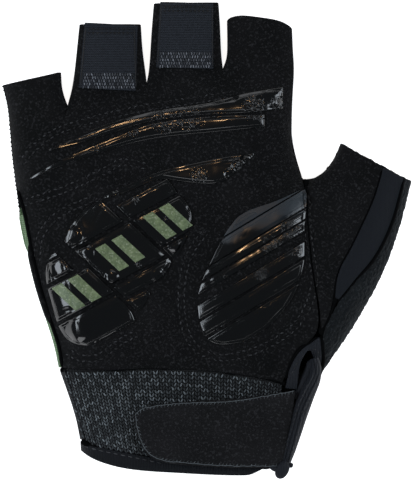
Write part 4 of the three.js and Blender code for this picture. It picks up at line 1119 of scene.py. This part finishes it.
# The rolled closing tape beside the slit, several folds of navy tape sewn together. A small rounded
# tab ends it at the wrist, and an inner roll of the same tape lies under its upper half.
closure_line = smooth_line([(314, 357.8), (316.5, 372), (308, 391), (300.5, 408.5), (294.4, 430),
                            (289, 449), (284.6, 463.5), (279.2, 476)])
tape_folds = {"spacing": 1.25 * mm, "depth": 0.6 * mm, "round": 0.6, "middle": 0.7, "wander": 0.4,
              "wander_points": 22}
closure = subdivided(bare_form("closure_tape"), "rolled_closing_tape", navy, levels=4, crease=0.6)
places = points_of(closure)
upward = np.clip(normals_of(closure)[:, 2], 0, 1)
for place, up in zip(places, upward):
    offset = place[:2] - closure_line
    nearest = int(np.argmin(np.einsum("ij,ij->i", offset, offset)))
    way = closure_line[min(nearest + 1, len(closure_line) - 1)] - closure_line[max(nearest - 1, 0)]
    side = (way[0] * offset[nearest][1] - way[1] * offset[nearest][0]) / np.linalg.norm(way)
    wander = tape_folds["wander"] * math.sin(nearest / tape_folds["wander_points"])
    fold = abs(math.cos(math.pi * side / tape_folds["spacing"] + wander))
    place[2] += up * tape_folds["depth"] * (fold ** tape_folds["round"] - tape_folds["middle"])
put_points(closure, places)
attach(closure, "root")
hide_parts("closure_tape")

closure_top = tree_of(closure)
roll_thickness = 4.0 * mm
roll_lift = -roll_thickness / 2 - 0.5 * mm
roll_reach = 2.6 * mm
roll_places = [(314, 356.5), (312.5, 362), (309, 371), (304, 381), (300, 391), (297.5, 400)]
roll_line = laid_line(smooth_line(roll_places), closure_top, roll_lift, roll_reach)
inner_roll = cord_of("closing_tape_roll", [roll_line], roll_thickness, navy)
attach(inner_roll, "root")

fold_seams = {"sides": (-1.4 * mm, 1.1 * mm), "stretch": slice(20, -12)}
fold_stitch = {"spacing": 1.8 * mm, "length": 1.1 * mm, "thickness": 0.3 * mm, "lift": 0.02 * mm,
               "shades": (0.05, 0.5)}
cross_stitch = {"spacing": 1.1 * mm, "length": 0.9 * mm, "thickness": 0.36 * mm, "lift": 0.04 * mm,
                "shades": (0.1, 0.6), "lean": (0.6, 1.2)}
form = bmesh.new()
for offset in fold_seams["sides"]:
    stitch_row(form, beside(closure_line[fold_seams["stretch"]], offset), closure_top, **fold_stitch)
stitch_row(form, smooth_line([(291, 414), (306, 410)]), closure_top, **cross_stitch)
closure_stitches = piece_of(form, "closing_tape_stitches", thread)
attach(closure_stitches, "root")

end_rows = [
    {"at": (282, 469), "turn": 62, "size": (8.0, 5.4, 3.6), "height": 16.2},
    {"at": (275, 467.6), "turn": -20, "size": (5.0, 2.8, 2.4), "height": 15.6},
    {"at": (290.5, 464.5), "turn": 60, "size": (2.2, 2.0, 2.0), "height": 15.4},
]
form = bmesh.new()
for row in end_rows:
    shape = Matrix.Diagonal([side * mm for side in row["size"]]).to_4x4()
    turned = Matrix.Rotation(math.radians(row["turn"]), 4, "Z")
    place = Matrix.Translation((*seen(*row["at"]), row["height"] * mm))
    bmesh.ops.create_cube(form, size=1, matrix=place @ turned @ shape)
tape_end = subdivided(form, "closing_tape_end", navy, crease=0.0)
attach(tape_end, "root")


# The seams, where the panels are sewn edge to edge: a turned-in cord of black tape fills each
# groove, bar tacks close the corners where three panels meet, and the little finger side is overcast.
skin = tree_of(palm, thumb_palm, thumb_strip, thumb_back, back, finger_backs, cuff, cuff_back, binding,
               slit)
seam_rows = {
    "thumb_root": [(305.5, 183), (307, 215), (309, 250), (316, 285), (321, 310), (320.5, 331)],
    "thumb_inner": [(381, 170.5), (373.8, 197), (361, 225), (348, 252), (337, 270), (334, 288),
                    (332.5, 306), (321.5, 331)],
    "thumb_outer": [(403, 180.5), (393, 218), (383, 242), (371, 262), (358, 276), (347, 290),
                    (334, 304)],
    "cuff_top": [(62, 369.5), (100, 370), (150, 368.5), (200, 370), (240, 374.5), (281, 382)],
    "little_side": [(17.5, 190), (25, 215), (34.2, 262), (45.5, 305), (58.7, 345), (62, 367)],
    "binding_top": [(81, 442), (100, 446.5), (140, 454.5), (190, 462), (230, 465), (272, 467)],
    "slit_palm": [(319, 334), (310, 342.5), (299.5, 348.5), (291, 362), (284, 380)],
    "slit_thumb": [(320.5, 334), (322, 347), (323, 362), (317.5, 378)],
}
seam_thickness = 1.5 * mm
seam_sink = 0.12 * mm
seam_lines = [laid_line(smooth_line(places), skin, -seam_thickness / 2 - seam_sink)
              for places in seam_rows.values()]
seam_tape = paint("seam_tape", (0.0016, 0.0018, 0.002), {"Roughness": 0.95, "Specular IOR Level": 0.04})
seams = cord_of("sewn_seams", seam_lines, seam_thickness, seam_tape)
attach(seams, "root")

back_seam = [(81.6, 440.6, 7.5), (83, 440.8, 4.5), (86.5, 441.1, 2.2), (93, 441.8, 1.4),
             (110, 443.4, 1.2), (145, 445.6, 1.2), (187, 448.6, 1.2), (229, 451.4, 1.2),
             (264, 454, 1.2), (286, 455.8, 1.5), (291.5, 456.2, 3.5), (293, 456.4, 6)]
back_seam_line = [(*seen(x, y), z * mm) for x, y, z in back_seam]
back_seam_thickness = 2.3 * mm
inner_seam = cord_of("wrist_back_seam", [back_seam_line], back_seam_thickness, seam_tape)
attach(inner_seam, "root")

side_roll_sink = 0.7 * mm
side_rows = {
    "leather_roll": {"paint": suede, "slot": "palm_leather", "thickness": 2.5, "height": None,
                     "places": [(29, 243), (32.6, 263), (37.6, 283), (43.4, 302), (51.5, 325)]},
    "green_roll": {"paint": green_knit, "slot": "green_back_knit", "thickness": 2.2, "height": 7.2,
                   "places": [(19.8, 207), (22.7, 224), (25.5, 238), (29, 254)]},
    "green_roll_low": {"paint": green_knit, "slot": "green_back_knit", "thickness": 3.2, "height": 7.4,
                       "places": [(51, 316), (54, 326), (57.6, 338), (60.6, 350), (62, 360),
                                  (63.5, 367)]},
    "cuff_roll": {"paint": seam_tape, "slot": "black_stretch", "thickness": 1.6, "height": 7.6,
                  "places": [(61, 369), (69.5, 391), (77.5, 415), (81.8, 433), (83.4, 441), (87, 454)]},
}
for name, row in side_rows.items():
    line = smooth_line(row["places"], 1.0 * mm)
    if row["height"]:
        places = [(x, y, row["height"] * mm) for x, y in line]
    else:
        places = laid_line(line, skin, -side_roll_sink)
    roll = cord_of(name, [places], row["thickness"] * mm, row["paint"])
    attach(roll, "root")

tack_rows = [
    {"at": (306, 184), "turn": 80, "size": (3.4, 1.9)},
    {"at": (303, 181.6), "turn": 20, "size": (3.2, 2.0)},
    {"at": (334, 300), "turn": 75, "size": (3.6, 2.0)},
    {"at": (321, 329), "turn": 85, "size": (4.0, 2.2)},
    {"at": (63, 369), "turn": 20, "size": (2.6, 2.0)},
    {"at": (86, 443), "turn": -20, "size": (4.4, 2.4)},
    {"at": (282, 383), "turn": 10, "size": (2.6, 2.0)},
]
tack = {"reach": 1.3 * mm, "sink": 0.45 * mm, "shade": 0.04, "flat": 0.5}
form = bmesh.new()
for row in tack_rows:
    turn = math.radians(row["turn"])
    way = Vector((math.cos(turn), math.sin(turn), 0))
    x, y = seen(*row["at"])
    z = higher_side(skin, x, y, way, tack["reach"]) - tack["sink"]
    length, width = row["size"]
    add_stitch(form, Vector((x, y, z)), way, length * mm, width * mm, tack["shade"], tack["flat"])

side_line = smooth_line([(1.6, 86), (6.9, 108), (11.8, 161), (19.2, 215)], 1.5 * mm)
side_stitch = {"length": 1.9 * mm, "thickness": 0.5 * mm, "in": 0.1 * mm, "height": 7.5 * mm,
               "lean_across": 0.25, "lean_along": 0.5, "shades": (0.02, 0.2)}
for x, y in side_line:
    lean_across = draw.uniform(-side_stitch["lean_across"], side_stitch["lean_across"])
    lean_along = draw.uniform(-side_stitch["lean_along"], side_stitch["lean_along"])
    at = Vector((x + side_stitch["in"], y, side_stitch["height"]))
    add_stitch(form, at, Vector((lean_across, lean_along, 1)), side_stitch["length"],
               side_stitch["thickness"], draw.uniform(*side_stitch["shades"]), flat=1.0)
tacks = piece_of(form, "bar_tacks", seam_tape)
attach(tacks, "root")
